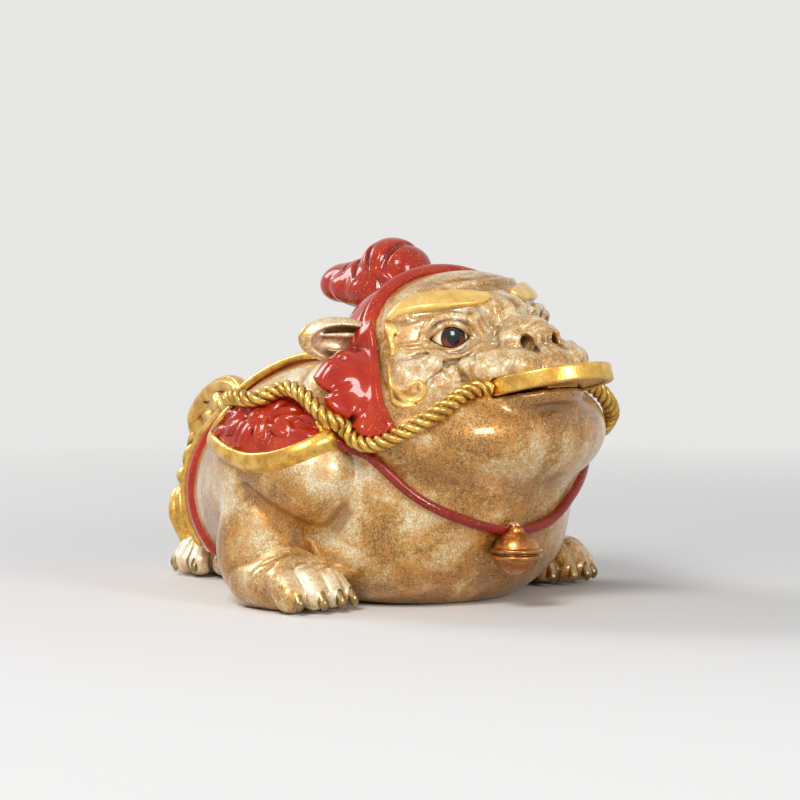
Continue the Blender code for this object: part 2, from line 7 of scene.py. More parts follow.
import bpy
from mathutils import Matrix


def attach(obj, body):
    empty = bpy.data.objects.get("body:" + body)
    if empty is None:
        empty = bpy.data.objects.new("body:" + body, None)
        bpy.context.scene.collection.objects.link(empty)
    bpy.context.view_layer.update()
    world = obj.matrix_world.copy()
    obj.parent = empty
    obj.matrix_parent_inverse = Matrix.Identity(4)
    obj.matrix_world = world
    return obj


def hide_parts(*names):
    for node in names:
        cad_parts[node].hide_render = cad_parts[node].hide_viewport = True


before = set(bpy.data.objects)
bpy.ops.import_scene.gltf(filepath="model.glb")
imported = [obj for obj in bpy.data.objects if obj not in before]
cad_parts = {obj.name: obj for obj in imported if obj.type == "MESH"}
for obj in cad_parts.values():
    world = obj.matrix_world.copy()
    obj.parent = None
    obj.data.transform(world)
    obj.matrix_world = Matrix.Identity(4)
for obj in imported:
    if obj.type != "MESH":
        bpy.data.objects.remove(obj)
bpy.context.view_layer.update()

import math

import bpy
import numpy as np
from bpy.props import FloatProperty, FloatVectorProperty, PointerProperty
from mathutils import Euler, Vector

bl_info = {
    "name": "Money Toad Figurine",
    "version": (1, 0, 0),
    "blender": (4, 5, 0),
    "location": "3D View > Sidebar > Toad",
    "description": "Dresses the packed money toad: skin, enamelled hood and saddle, gilt rope, bow, bell and coin",
    "category": "Object",
}

MM = 0.001
TO_FRAME = (0.02, -2.82, 0.0)
HEAD = (0.0, -22.0, 72.0)
ROLL = math.radians(3.0)


# Fields

def merged(a, b, blend):
    """Two distances joined, the nearer one winning, with a fillet about as wide as blend."""
    if blend <= 0:
        return np.minimum(a, b)
    share = np.clip(0.5 + 0.5 * (b - a) / blend, 0, 1)
    return b + (a - b) * share - blend * share * (1 - share)


def smooth_path(points, parts=5):
    """A smooth line through the points, by Catmull and Rom's rule."""
    p = np.array(points, np.float32)
    p = np.vstack([2 * p[0] - p[1], p, 2 * p[-1] - p[-2]])
    line = []
    for i in range(1, len(p) - 2):
        for step in range(parts):
            t = step / parts
            line.append(0.5 * (2 * p[i] + (p[i + 1] - p[i - 1]) * t
                               + (2 * p[i - 1] - 5 * p[i] + 4 * p[i + 1] - p[i + 2]) * t * t
                               + (3 * p[i] - p[i - 1] - 3 * p[i + 1] + p[i + 2]) * t ** 3))
    line.append(p[-2])
    return np.array(line, np.float32)


def turned(degrees):
    """The rotation that takes world axes to the axes of a form turned by these angles."""
    return np.array(Euler([math.radians(a) for a in degrees]).to_matrix().transposed(), np.float32)


class Clay:
    """A form modelled by adding masses and cutting grooves, kept as a distance in millimetres."""

    def __init__(self, origin=(0, 0, 0), turn=(0, 0, 0), mirror=True):
        self.origin = np.array(origin, np.float32)
        self.turn = turned(turn)
        self.mirror = mirror
        self.touches = []

    def touch(self, measure, low, high, blend, mode="add"):
        margin = abs(blend) + 4.0
        self.touches.append((measure, np.float32(low) - margin, np.float32(high) + margin, blend, mode))
        return self

    def ball(self, centre, radii, blend=3.0, turn=None, mode="add"):
        """An ellipsoid."""
        centre, radii = np.float32(centre), np.float32(radii)
        spin = None if turn is None else turned(turn)
        reach = radii if turn is None else np.full(3, radii.max(), np.float32)

        def measure(q):
            v = q - centre[:, None]
            if spin is not None:
                v = spin @ v
            v = v / radii[:, None]
            shape = np.sqrt((v * v).sum(0))
            slope = np.sqrt(((v / radii[:, None]) ** 2).sum(0))
            return shape * (shape - 1) / np.maximum(slope, 1e-6)

        return self.touch(measure, centre - reach, centre + reach, blend, mode)

    def strand(self, points, radii, blend=1.0, mode="add", parts=5):
        """A round strand along a smooth line, its radius running through the given ones."""
        line = smooth_path(points, parts)
        radii = np.atleast_1d(np.float32(radii))
        width = np.interp(np.linspace(0, 1, len(line)), np.linspace(0, 1, len(radii)), radii)
        width = width.astype(np.float32)

        def measure(q):
            best = np.full(q.shape[1], 99.0, np.float32)
            for i in range(len(line) - 1):
                a, ab = line[i][:, None], (line[i + 1] - line[i])[:, None]
                v = q - a
                t = np.clip((v * ab).sum(0) / max(float((ab * ab).sum()), 1e-9), 0, 1)
                v = v - ab * t
                np.minimum(best, np.sqrt((v * v).sum(0)) - (width[i] + t * (width[i + 1] - width[i])), out=best)
            return best

        big = width.max()
        return self.touch(measure, line.min(0) - big, line.max(0) + big, blend, mode)

    def stroke(self, points, radii, blend=1.0, mode="add"):
        """A strand that follows the surface: laid half sunk when it adds, half proud when it cuts."""
        sunk = float(np.mean(radii)) * (0.3 if mode == "cut" else -0.2)
        line, _ = on_surface(self.read, smooth_path(points, 3), sunk)
        return self.strand(line, radii, blend, mode, 1)

    def keep(self, point, normal, blend=0.5):
        """Only what lies behind the plane through point stays."""
        point, normal = np.float32(point), np.float32(normal)
        normal = normal / np.linalg.norm(normal)
        wide = np.full(3, 500.0, np.float32)
        return self.touch(lambda q: ((q - point[:, None]) * normal[:, None]).sum(0), -wide, wide, blend, "keep")

    def local(self, points):
        q = self.turn @ (points - self.origin[:, None])
        if self.mirror:
            q[0] = np.abs(q[0])
        return q

    def at(self, points):
        """Distances at points, given as three rows."""
        return self.read(self.local(points))

    def read(self, q):
        """Distances at points already turned into the form's own axes."""
        d = np.full(q.shape[1], 60.0, np.float32)
        for measure, low, high, blend, mode in self.touches:
            near = np.flatnonzero((q[0] > low[0]) & (q[0] < high[0]) & (q[1] > low[1]) & (q[1] < high[1])
                                  & (q[2] > low[2]) & (q[2] < high[2]))
            if len(near) == 0:
                continue
            e = measure(q[:, near])
            if mode == "add":
                d[near] = merged(d[near], e, blend)
            elif mode == "cut":
                d[near] = -merged(-d[near], e, blend)
            else:
                d[near] = -merged(-d[near], -e, blend)
        return d


def sampled(measure, points):
    """A field read in handy batches."""
    batch = 120000
    return np.concatenate([measure(points[:, i:i + batch]) for i in range(0, points.shape[1], batch)]
                          ).astype(np.float32)


def slope_of(measure, points, step):
    """The distance and its slope at points."""
    d = sampled(measure, points)
    rise = []
    for axis in range(3):
        moved = points.copy()
        moved[axis] += step
        rise.append((sampled(measure, moved) - d) / step)
    return d, np.stack(rise)


def on_surface(measure, points, lift=0.0, rounds=6):
    """Points moved along the slope until they lie on the surface, or lift above it; also the way out there."""
    p = np.array(points, np.float32).T.copy()
    for _ in range(rounds):
        d, g = slope_of(measure, p, 0.1)
        size = np.maximum((g * g).sum(0), 0.05)
        p -= np.clip(d - lift, -3, 3) * g / size
    _, g = slope_of(measure, p, 0.1)
    return p.T, (g / np.maximum(np.sqrt((g * g).sum(0)), 1e-6)).T


CORNERS = [(i, j, k) for i in (0, 1) for j in (0, 1) for k in (0, 1)]
CELL_EDGES = [(a, b) for a in range(8) for b in range(a + 1, 8)
              if sum(abs(CORNERS[a][i] - CORNERS[b][i]) for i in range(3)) == 1]


def cast(measure, low, high, cell, rounds=2):
    """The closed surface where the field is zero, as points, four-sided faces and the way out at each point."""
    low, high = np.float32(low), np.float32(high)
    block = 4
    count = np.ceil((high - low) / (cell * block)).astype(int) + 1
    nodes = np.stack(np.meshgrid(*[low[i] + cell * block * np.arange(count[i]) for i in range(3)],
                                 indexing="ij")).reshape(3, -1).astype(np.float32)
    coarse = sampled(measure, nodes).reshape(count)

    def spread(grid):
        return grid.repeat(block, 0).repeat(block, 1).repeat(block, 2)

    fine = spread(coarse)
    live = np.flatnonzero(spread(np.abs(coarse) < 6 * cell))
    place = np.stack(np.unravel_index(live, fine.shape)).astype(np.float32)
    fine.flat[live] = sampled(measure, low[:, None] + (place - 1.5) * cell)
    inside = fine < 0
    n0, n1, n2 = fine.shape
    total = sum(inside[i:n0 - 1 + i, j:n1 - 1 + j, k:n2 - 1 + k].astype(np.int8) for i, j, k in CORNERS)
    cells = np.flatnonzero((total > 0) & (total < 8))
    ci = np.stack(np.unravel_index(cells, total.shape))
    values = [fine[ci[0] + i, ci[1] + j, ci[2] + k] for i, j, k in CORNERS]
    sums = np.zeros((3, len(cells)), np.float32)
    hits = np.zeros(len(cells), np.float32)
    for a, b in CELL_EDGES:
        crossed = (values[a] < 0) != (values[b] < 0)
        t = np.where(crossed, values[a] / np.where(crossed, values[a] - values[b], 1), 0)
        for axis in range(3):
            sums[axis] += crossed * (CORNERS[a][axis] + t * (CORNERS[b][axis] - CORNERS[a][axis]))
        hits += crossed
    points = low[:, None] + (ci + sums / hits - 1.5).astype(np.float32) * cell
    number = np.full(total.shape, -1, np.int32)
    number.flat[cells] = np.arange(len(cells))
    faces = []
    for axis in range(3):
        u, v = (axis + 1) % 3, (axis + 2) % 3
        lower = np.take(inside, range(0, fine.shape[axis] - 1), axis)
        upper = np.take(inside, range(1, fine.shape[axis]), axis)
        at = np.argwhere(lower != upper)
        at = at[(at[:, u] > 0) & (at[:, v] > 0) & (at[:, u] < fine.shape[u] - 1) & (at[:, v] < fine.shape[v] - 1)]
        outward = lower[at[:, 0], at[:, 1], at[:, 2]]
        back_u, back_v = np.eye(3, dtype=int)[u], np.eye(3, dtype=int)[v]
        ring = [number[tuple((at - shift).T)] for shift in (0 * back_u, back_u, back_u + back_v, back_v)]
        quad = np.stack(ring, 1)
        quad[~outward] = quad[~outward][:, ::-1]
        faces.append(quad)
    faces = np.concatenate(faces)
    start, end = faces.ravel(), np.roll(faces, -1, 1).ravel()
    share = np.maximum(np.bincount(start, minlength=len(cells)), 1)
    for _ in range(rounds):
        middle = np.stack([np.bincount(start, points[axis][end], len(cells)) / share for axis in range(3)])
        points = (points + 0.6 * (middle - points)).astype(np.float32)
        d, g = slope_of(measure, points, 0.25 * cell)
        points = points - np.clip(d, -cell, cell) * g / np.maximum((g * g).sum(0), 0.2)
    _, g = slope_of(measure, points, 0.25 * cell)
    out = g / np.maximum(np.sqrt((g * g).sum(0)), 1e-6)
    return points, faces, out


def openness(measure, points, out, reach):
    """1 on flats and ridges, 0 in the bottom of a crease, from how fast the field opens above the surface."""
    return np.clip(sampled(measure, points + out * reach) / reach, 0, 1)


# Meshes and pieces

SLOTS = {"skin": "patina", "face": "patina", "enamel": "red_enamel", "cord": "red_enamel", "eye": "eye_lacquer"}
# rounded end of a tube: how far out and how wide, in shares of its radius
TUBE_CAP = ((0.985, 0.17), (0.8, 0.6), (0.4, 0.917))


def mesh_piece(name, points, faces, paint, values, replaces="toad_casting"):
    """A finished piece from rows of points in millimetres, with its material and its named values."""
    mesh = bpy.data.meshes.new(name)
    co = (points + np.float32(TO_FRAME)[:, None]).T * MM
    mesh.vertices.add(len(co))
    mesh.vertices.foreach_set("co", co.astype(np.float32).ravel())
    faces = np.asarray(faces, np.int32)
    mesh.loops.add(faces.size)
    mesh.loops.foreach_set("vertex_index", faces.ravel())
    mesh.polygons.add(len(faces))
    mesh.polygons.foreach_set("loop_start", np.arange(0, faces.size, faces.shape[1], dtype=np.int32))
    mesh.update(calc_edges=True)
    mesh.validate()
    mesh.polygons.foreach_set("use_smooth", np.ones(len(mesh.polygons), bool))
    for key, value in values.items():
        layer = mesh.attributes.new(key, "FLOAT", "POINT")
        layer.data.foreach_set("value", np.asarray(value, np.float32))
    return adopt(bpy.data.objects.new(name, mesh), paint, replaces)


def adopt(piece, paint, replaces="toad_casting"):
    bpy.context.scene.collection.objects.link(piece)
    piece.data.materials.clear()
    piece.data.materials.append(PAINTS[paint])
    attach(piece, "root")
    SLOTS.get(paint, "gilt")
    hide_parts(replaces)
    return piece


def cast_piece(name, clay, low, high, cell, paint, values=None, reach=1.6, replaces="toad_casting"):
    """Casts a field and keeps how open each point is, for the painted shade and antique wash in the creases."""
    measure = clay.at if isinstance(clay, Clay) else clay
    points, faces, out = cast(measure, low, high, cell)
    marks = {"open": openness(measure, points, out, reach)}
    if values:
        marks.update(values(points, out))
    return mesh_piece(name, points, faces, paint, marks, replaces)


def tube_piece(name, lines, radius, sides, paint, closed=False):
    """A piece of round tubes along lines of points in millimetres, with rounded ends where they are open."""
    points, faces = [], []
    for line in lines:
        line = np.array(line, np.float64)
        ahead = np.roll(line, -1, 0) - np.roll(line, 1, 0)
        if not closed:
            ahead[0], ahead[-1] = line[1] - line[0], line[-1] - line[-2]
        ahead /= np.linalg.norm(ahead, axis=1)[:, None]
        side = np.cross(ahead[0], (0.13, 0.21, 0.97))
        rings = []
        for place, way in zip(line, ahead):
            side = side - way * side.dot(way)
            side /= np.linalg.norm(side)
            rings.append((place, way, side.copy(), radius))
        if not closed:
            (start, first_way, first_side, _), (end, last_way, last_side, _) = rings[0], rings[-1]
            rings = ([(start - first_way * radius * out, first_way, first_side, radius * wide)
                      for out, wide in TUBE_CAP] + rings
                     + [(end + last_way * radius * out, last_way, last_side, radius * wide)
                        for out, wide in reversed(TUBE_CAP)])
        base, last = len(points), len(rings) - 1
        for place, way, side, wide in rings:
            up = np.cross(way, side)
            for turn in (2 * math.pi * j / sides for j in range(sides)):
                points.append(place + wide * (side * math.cos(turn) + up * math.sin(turn)))
        for i in range(len(rings) if closed else last):
            a, b = base + i * sides, base + (i + 1) % (last + 1) * sides
            faces += [(a + j, a + (j + 1) % sides, b + (j + 1) % sides, b + j) for j in range(sides)]
        if not closed:
            for ring, order in ((base, -1), (base + last * sides, 1)):
                faces += [(len(points),) + tuple(ring + (j + s) % sides for s in (0, 1, 2))[::order]
                          for j in range(0, sides, 2)]
                points.append(np.mean(points[ring:ring + sides], axis=0))
    points = np.array(points, np.float32).T
    return mesh_piece(name, points, faces, paint, {"open": np.ones(points.shape[1])})


# Forms shared by several pieces

def body_clay():
    """Trunk, belly, throat and upper legs, without the head and the feet."""
    clay = Clay()
    for centre, radii, blend in (
            ((0, 10, 30), (42, 50, 31.5), 1), ((0, 36, 26), (27, 38, 29), 8), ((0, 6, 44), (33, 44, 24), 8),
            ((0, -15, 18), (43, 33, 22), 8), ((0, -17, 32), (43, 36, 22), 8), ((35, -18, 55), (10, 15, 13), 6),
            ((0, -31, 47), (42, 33, 20), 5), ((43, 0, 37), (13.5, 22, 20), 6), ((46, 3, 16), (12.5, 13, 17), 5),
            ((44, -11, 37), (13, 17, 14.5), 2.5)):
        clay.ball(centre, radii, blend)
    return clay


def head_clay(swell=0.0):
    """The bare head: dome, brow, muzzle and cheeks, about its own middle; swell makes it that much bigger."""
    clay = Clay(HEAD, (0, -math.degrees(ROLL), 0))
    for centre, radii, blend in (
            ((0, 0, 0), (30, 24, 17.5), 1), ((0, -8, 5), (24, 15, 13), 5), ((0, -27, -7), (20, 15.5, 8), 5),
            ((20, -8, -11), (13.5, 15, 14), 4)):
        clay.ball(centre, [r + swell for r in radii], blend)
    return clay


BODY = body_clay()
BARE_HEAD = head_clay()
EYE = np.array((14.94, -13.31, 2.0), np.float32)
EYE_OUT = np.array((0.495, -0.869, 0.0), np.float32)
EYE_ALONG = np.array((0.869, 0.495, 0.0), np.float32)
# the eye's opening: half its length, the rise of the upper lid, the drop of the lower, and the ball the lids lie on
EYE_HALF, UPPER_LID, LOWER_LID, LID_RADIUS = 6.3, 4.0, -3.2, 8.6


def lid_edge(height, parts=11):
    """Points along one edge of the eye's opening, lying just outside the eyeball."""
    line = []
    for t in np.linspace(-1, 1, parts):
        a, b = EYE_HALF * t, height * (1 - t * t)
        line.append(EYE + EYE_ALONG * a + np.float32((0, 0, b)) + EYE_OUT * math.sqrt(LID_RADIUS ** 2 - a * a - b * b))
    return line


def eye_opening(q):
    """Inside the almond of the eye's opening, in front of the ball's middle."""
    v = q - EYE[:, None]
    a = (v * EYE_ALONG[:, None]).sum(0)
    depth = (v * EYE_OUT[:, None]).sum(0)
    arcs = []
    for height in (UPPER_LID, LOWER_LID):
        radius = (EYE_HALF ** 2 + height ** 2) / (2 * abs(height))
        middle = height - math.copysign(radius, height)
        arcs.append(np.sqrt(a * a + (v[2] - middle) ** 2) - radius)
    return np.maximum(np.maximum(arcs[0], arcs[1]), -depth)


def face_clay():
    """The head with its features."""
    clay = head_clay()
    add, cut = "add", "cut"
    clay.ball((0, -23, 5.5), (5.5, 6, 6), 4).ball((0, -29.6, 1.8), (7.8, 6.6, 4.9), 1.6)
    clay.ball((6.6, -30.4, 0.6), (4.0, 4.2, 4.0), 0.9).ball((9.5, -35.6, -5.6), (5.6, 5.4, 4.4), 1.2)
    clay.ball((3.2, -37.4, -5.8), (3.2, 4.2, 3.6), 1.0).ball((16.5, -30.5, -6.2), (5.2, 5.4, 4.2), 1.3)
    for centre, radii, blend in (
            ((24.3, -18.3, -4.2), (3.8, 3.6, 3.0), 1.0), ((20.7, -21.7, -7.4), (3.2, 3.4, 3.0), 0.8),
            ((18.7, -26.4, -5.2), (3.2, 3.4, 2.6), 0.8), ((29.4, -14.0, -9.0), (4.6, 5.2, 5.4), 1.6),
            ((25.0, -18.0, -11.5), (4.0, 4.6, 4.0), 1.2), ((10.9, -20.6, 7.2), (2.4, 2.6, 2.0), 1.2)):
        clay.ball(centre, radii, blend)
    for points, radii, blend, mode in (
            (((25, -12, 9.4), (20, -17.0, 9.4), (14.5, -20.4, 9.4), (12.0, -22, 9.6)), (0.7, 0.9, 0.8, 0.4), 2.0, cut),
            (((25.2, -14.6, 1.4), (23.2, -15.6, 5.0), (20.4, -17.0, 7.4), (17.0, -19.2, 8.0), (13.8, -21.4, 6.8),
              (11.0, -23.4, 3.4), (9.8, -24.8, 0.2)), (0.5, 1.2, 1.4, 1.5, 1.3, 1.0, 0.4), 0.7, add),
            (((25.0, -16.6, -1.2), (21.2, -20.0, -3.2), (16.0, -23.6, -2.6), (12.3, -25.4, 0.0)),
             (0.4, 0.9, 0.9, 0.4), 0.8, add),
            (((26.5, -15.0, -3.0), (22, -20.2, -4.8), (17, -25, -3.9), (13, -28.0, -1.4)), (0.4, 0.6, 0.4), 0.8, cut),
            (((16.5, -10.7, 15.0), (10, -14.8, 15.6), (3, -16.8, 15.8), (0, -17.2, 15.9)), (0.5, 1.0, 1.0), 1.0, add),
            (((17.5, -11.8, 13.4), (10.5, -16.2, 14.0), (3, -18.4, 14.2), (0, -18.8, 14.3)), (0.4, 0.7, 0.6), 1.0, cut),
            (((13.5, -11.0, 17.0), (6.5, -14.0, 17.6), (0, -14.8, 17.8)), (0.3, 0.55, 0.5), 1.0, cut),
            (((9.4, -20.8, 10.4), (8.6, -22.4, 7.4), (7.6, -23.6, 4.6)), (0.4, 0.7, 0.3), 1.2, cut),
            (((3.4, -21.6, 11.0), (4.2, -23.2, 8.0), (5.4, -25.0, 5.0)), (0.7, 1.3, 0.8), 1.4, add),
            (((0, -22.4, 9.6), (0, -25, 6.8), (0, -28, 5.0)), (0.4, 0.6, 0.3), 1.0, cut),
            (((10.6, -27.6, 2.6), (13.4, -25.6, 1.0), (17.0, -24.2, -0.8)), (0.6, 0.8, 0.3), 0.8, add),
            (((8.8, -26.4, 5.0), (11.2, -28.0, 2.6), (12.4, -29.4, -0.8), (16.0, -27.6, -2.7), (17.8, -25.2, -3.8)),
             (0.3, 0.8, 0.9, 0.7, 0.3), 0.8, cut),
            (((18.0, -30.2, -3.2), (14.6, -32.0, -2.4), (11.4, -33.0, -2.0)), (1.0, 1.4, 0.9), 1.0, add),
            (((1.0, -35.0, 1.6), (1.2, -36.2, -1.0), (2.0, -39.4, -3.6)), (0.5, 0.7, 0.5), 0.4, add),
            (((2.9, -34.6, 0.8), (3.1, -35.8, -1.6), (4.6, -38.6, -3.6)), (0.4, 0.6, 0.5), 0.4, add),
            (((0, -35.0, 1.6), (0, -36.4, -1.2), (0, -39.8, -4.0)), (0.3, 0.5, 0.4), 0.5, cut),
            (((4.4, -34.8, -2.6), (7.0, -34.2, -2.9), (9.6, -32.6, -1.6)), (0.5, 0.8, 0.5), 0.6, add),
            (((13.0, -37.4, -3.4), (13.2, -37.0, -6.4), (13.0, -36.0, -9.0)), (0.3, 0.5, 0.4), 1.2, cut),
            (((5.9, -40.6, -4.0), (6.1, -41.2, -6.6), (6.0, -40.0, -9.0)), (0.4, 0.6, 0.4), 0.9, cut),
            (((25.4, -20.6, -12.6), (24.0, -21.6, -9.6), (20.8, -24.2, -8.8), (17.6, -27.2, -9.8)),
             (0.6, 1.0, 0.9, 0.5), 0.7, add),
            (((23.0, -22.4, -13.4), (21.8, -23.4, -11.4), (19.2, -25.4, -11.0)), (0.5, 0.8, 0.5), 0.7, add),
            (((27.4, -18.6, -12.4), (26.4, -19.4, -9.0), (24.0, -21.2, -6.6)), (0.3, 0.6, 0.3), 0.9, cut),
            (((29.6, -9.0, 0.6), (27.0, -13.1, 0.9), (24.4, -15.8, 1.0)), (0.3, 0.55, 0.4), 0.6, add),
            (((31.2, -8.4, -4.2), (28.0, -13.6, -3.6), (25.6, -17.4, -1.8)), (0.3, 0.5, 0.3), 0.6, cut),
            (((28.6, -4.6, 7.0), (26.6, -9.2, 6.6), (24.2, -13.0, 7.4)), (0.3, 0.6, 0.3), 0.8, cut)):
        clay.stroke(points, radii, blend, mode)
    clay.ball((0, -30.2, 3.6), (6.4, 5.4, 3.2), 1.4)
    ring = [(5.4 + 2.8 * math.cos(a), -34.2, 3.0 * math.sin(a)) for a in np.linspace(0, 2 * math.pi, 11)]
    clay.stroke(ring, (0.85,), 0.5)
    clay.ball((5.4, -35.4, -0.1), (2.0, 4.0, 2.4), 0.4, (-12, 25, 14), cut)
    low, high = EYE - 10, EYE + 10
    clay.touch(eye_opening, low, high, 0.5, cut)
    clay.strand(lid_edge(UPPER_LID), (0.45, 0.85, 0.9, 0.85, 0.45), 0.5)
    clay.strand(lid_edge(LOWER_LID), (0.4, 0.65, 0.7, 0.65, 0.4), 0.5)
    return clay


# Materials

def feed(tree, socket, value):
    """Joins another socket to this one, or gives it a plain value."""
    if isinstance(value, bpy.types.NodeSocket):
        tree.links.new(value, socket)
    else:
        socket.default_value = value


def add_node(tree, kind, inputs=(), **settings):
    """A new node with its settings made first and then its inputs fed, each by name or number."""
    node = tree.nodes.new(kind)
    for key, value in settings.items():
        setattr(node, key, value)
    for key, value in dict(inputs).items():
        feed(tree, node.inputs[key], value)
    return node


class Paint:
    """A material's node tree, with short ways to add and join nodes."""

    def __init__(self, name, roughness, metallic=0.0):
        self.material = bpy.data.materials.new(name)
        self.material.use_nodes = True
        self.tree = self.material.node_tree
        self.tree.nodes.clear()
        self.shader = self.add("ShaderNodeBsdfPrincipled", {"Roughness": roughness, "Metallic": metallic})
        self.end = self.add("ShaderNodeOutputMaterial", {"Surface": self.shader.outputs["BSDF"]})
        self.place = self.add("ShaderNodeTexCoord").outputs["Object"]

    def add(self, kind, inputs=(), **settings):
        return add_node(self.tree, kind, inputs, **settings)

    def noise(self, scale, detail=3.0, roughness=0.55, distortion=0.0):
        return self.add("ShaderNodeTexNoise", {"Vector": self.place, "Scale": scale, "Detail": detail,
                                               "Roughness": roughness, "Distortion": distortion}).outputs["Fac"]

    def mark(self, name):
        return self.add("ShaderNodeAttribute", attribute_name=name).outputs["Fac"]

    def math(self, what, a, b, clamp=False):
        return self.add("ShaderNodeMath", {0: a, 1: b}, operation=what, use_clamp=clamp).outputs[0]

    def spread(self, value, low, high, to_low=0.0, to_high=1.0):
        return self.add("ShaderNodeMapRange", enumerate((value, low, high, to_low, to_high))).outputs[0]

    def mix(self, share, a, b):
        return self.add("ShaderNodeMix", {"Factor": share, "A": a, "B": b}, data_type="RGBA").outputs["Result"]

    def ramp(self, value, stops):
        node = self.add("ShaderNodeValToRGB", {0: value})
        bar = node.color_ramp
        while len(bar.elements) < len(stops):
            bar.elements.new(0.5)
        for element, (place, colour) in zip(bar.elements, stops):
            element.position, element.color = place, colour
        return node.outputs["Color"]

    def bump(self, height, distance, strength, **below):
        return self.add("ShaderNodeBump", {"Distance": distance, "Strength": strength, "Height": height, **below}
                        ).outputs["Normal"]

    def set(self, **sockets):
        for name, value in sockets.items():
            feed(self.tree, self.shader.inputs[name.replace("_", " ")], value)
        return self.material


def shade(colour, times):
    return tuple(c * times for c in colour[:3]) + (1.0,)


def skin_paint(name, colours, streaked=False):
    """Cream and orange-gold patina in soft patches with a fine grain, brown in the creases from antique wash and
    painted shade, under a gloss glaze.
    """
    metallic, patches, crease_end, dimples = (0.1, 0.28, 0.92, 0.25) if streaked else (0.42, 0.4, 0.8, 0.45)
    paint = Paint(name, 0.34, metallic)
    cloud = paint.noise(95.0, 5.0, 0.62, 2.6) if streaked else paint.noise(62.0, 3.0, 0.55, 0.4)
    grain = paint.noise(1900.0, 2.0, 0.8)
    speck = paint.noise(700.0, 3.0, 0.75)
    depth = paint.math("ADD", paint.spread(cloud, 0.36, 0.64, -patches, patches), paint.mark("tone"))
    depth = paint.math("ADD", depth, paint.spread(speck, 0.35, 0.65, -0.15, 0.15))
    depth = paint.math("MINIMUM", depth, 0.74)
    depth = paint.math("ADD", depth, paint.spread(grain, 0.35, 0.65, -0.24, 0.24), True)
    colour = paint.ramp(depth, ((0.0, colours["cream"]), (0.26, colours["pearl"]), (0.52, colours["ochre"]),
                                (0.78, colours["brown"]), (1.0, colours["umber"])))
    rust = paint.spread(paint.noise(150.0, 4.0, 0.65, 1.2), 0.5, 0.64)
    colour = paint.mix(paint.math("MULTIPLY", rust, 0.6), colour, colours["rust"])
    # painted shade in the creases, over the antique wash that the patina has there
    crease = paint.spread(paint.mark("open"), 0.15, crease_end, 1.0, 0.0)
    colour = paint.mix(paint.math("MULTIPLY", crease, 0.92), colour, colours["wash"])
    # painted shade: where the tone runs past 1, as in the nostrils, the colour goes almost black
    colour = paint.mix(paint.spread(paint.mark("tone"), 1.0, 1.5), colour, shade(colours["wash"], 0.4))
    normal = paint.bump(grain, 0.00008, 0.4)
    normal = paint.bump(paint.noise(330.0, 3.0, 0.6), 0.00025, dimples, Normal=normal)
    return paint.set(Base_Color=colour, Normal=normal, Coat_Weight=0.7, Coat_Roughness=0.08)


def enamel_paint(name, colours):
    """Glossy red enamel with a few specks of gold, darker red in the folds as painted shade."""
    paint = Paint(name, 0.28)
    cloud = paint.noise(120.0, 3.0)
    colour = paint.mix(paint.spread(cloud, 0.35, 0.65), colours["red"], colours["scarlet"])
    # painted shade: darker red in the folds
    crease = paint.spread(paint.mark("open"), 0.1, 0.75, 1.0, 0.0)
    colour = paint.mix(paint.math("MULTIPLY", crease, 0.9), colour, colours["oxblood"])
    speck = paint.spread(paint.noise(2100.0, 2.0, 0.8), 0.62, 0.7)
    patch = paint.spread(paint.noise(70.0, 2.0), 0.42, 0.6)
    fleck = paint.math("MULTIPLY", speck, patch)
    colour = paint.mix(fleck, colour, colours["gold"])
    normal = paint.bump(paint.noise(190.0, 2.0), 0.0003, 0.25)
    return paint.set(Base_Color=colour, Normal=normal, Coat_Weight=0.65, Coat_Roughness=0.04,
                     Metallic=paint.math("MULTIPLY", fleck, 0.7), Specular_IOR_Level=0.1)


def gilt_paint(name, colours, metallic=0.9):
    """Antique gilding: bright on the ridges, brown in the hollows from antique wash and painted shade, brushed on by
    hand.
    """
    paint = Paint(name, 0.3, metallic)
    cloud = paint.noise(230.0, 4.0, 0.6)
    grain = paint.noise(1400.0, 2.0, 0.7)
    wear = paint.math("ADD", paint.spread(cloud, 0.35, 0.65), paint.spread(grain, 0.3, 0.7, -0.25, 0.25), True)
    colour = paint.mix(wear, colours["gold"], colours["old_gold"])
    # painted shade and antique wash: brown in the hollows
    crease = paint.spread(paint.mark("open"), 0.1, 0.8, 1.0, 0.0)
    colour = paint.mix(paint.math("MULTIPLY", crease, 0.9), colour, colours["umber"])
    normal = paint.bump(grain, 0.0001, 0.4)
    normal = paint.bump(paint.noise(420.0, 3.0), 0.0003, 0.4, Normal=normal)
    rough = paint.spread(wear, 0.0, 1.0, 0.22, 0.4)
    return paint.set(Base_Color=colour, Normal=normal, Roughness=rough, Coat_Weight=0.3, Coat_Roughness=0.1)


def eye_paint(name, colours):
    """The lacquered eye: rings of colour by the distance from the middle of the iris, in millimetres."""
    paint = Paint(name, 0.25)
    ring = paint.mark("from_gaze")
    iris = paint.ramp(paint.spread(paint.mark("up"), -2.6, 2.6), (
        (0.0, colours["iris"]), (0.42, shade(colours["iris"], 0.7)), (0.6, (0.02, 0.008, 0.006, 1)),
        (1.0, (0.006, 0.004, 0.004, 1))))
    white = paint.mix(paint.spread(ring, 4.4, 5.8), colours["cream"], shade(colours["ochre"], 0.8))
    colour = paint.mix(paint.spread(ring, 3.5, 3.75), iris, white)
    line = paint.math("MULTIPLY", paint.spread(ring, 3.2, 3.45), paint.spread(ring, 3.8, 3.6))
    colour = paint.mix(line, colour, (0.02, 0.01, 0.008, 1))
    colour = paint.mix(paint.spread(ring, 2.1, 1.8), colour, (0.004, 0.004, 0.005, 1))
    colour = paint.mix(paint.spread(paint.mark("lid"), -1.25, -0.85), colour, (0.025, 0.012, 0.008, 1))
    return paint.set(Base_Color=colour, Specular_IOR_Level=0.1, Coat_Weight=0.9, Coat_Roughness=0.03)


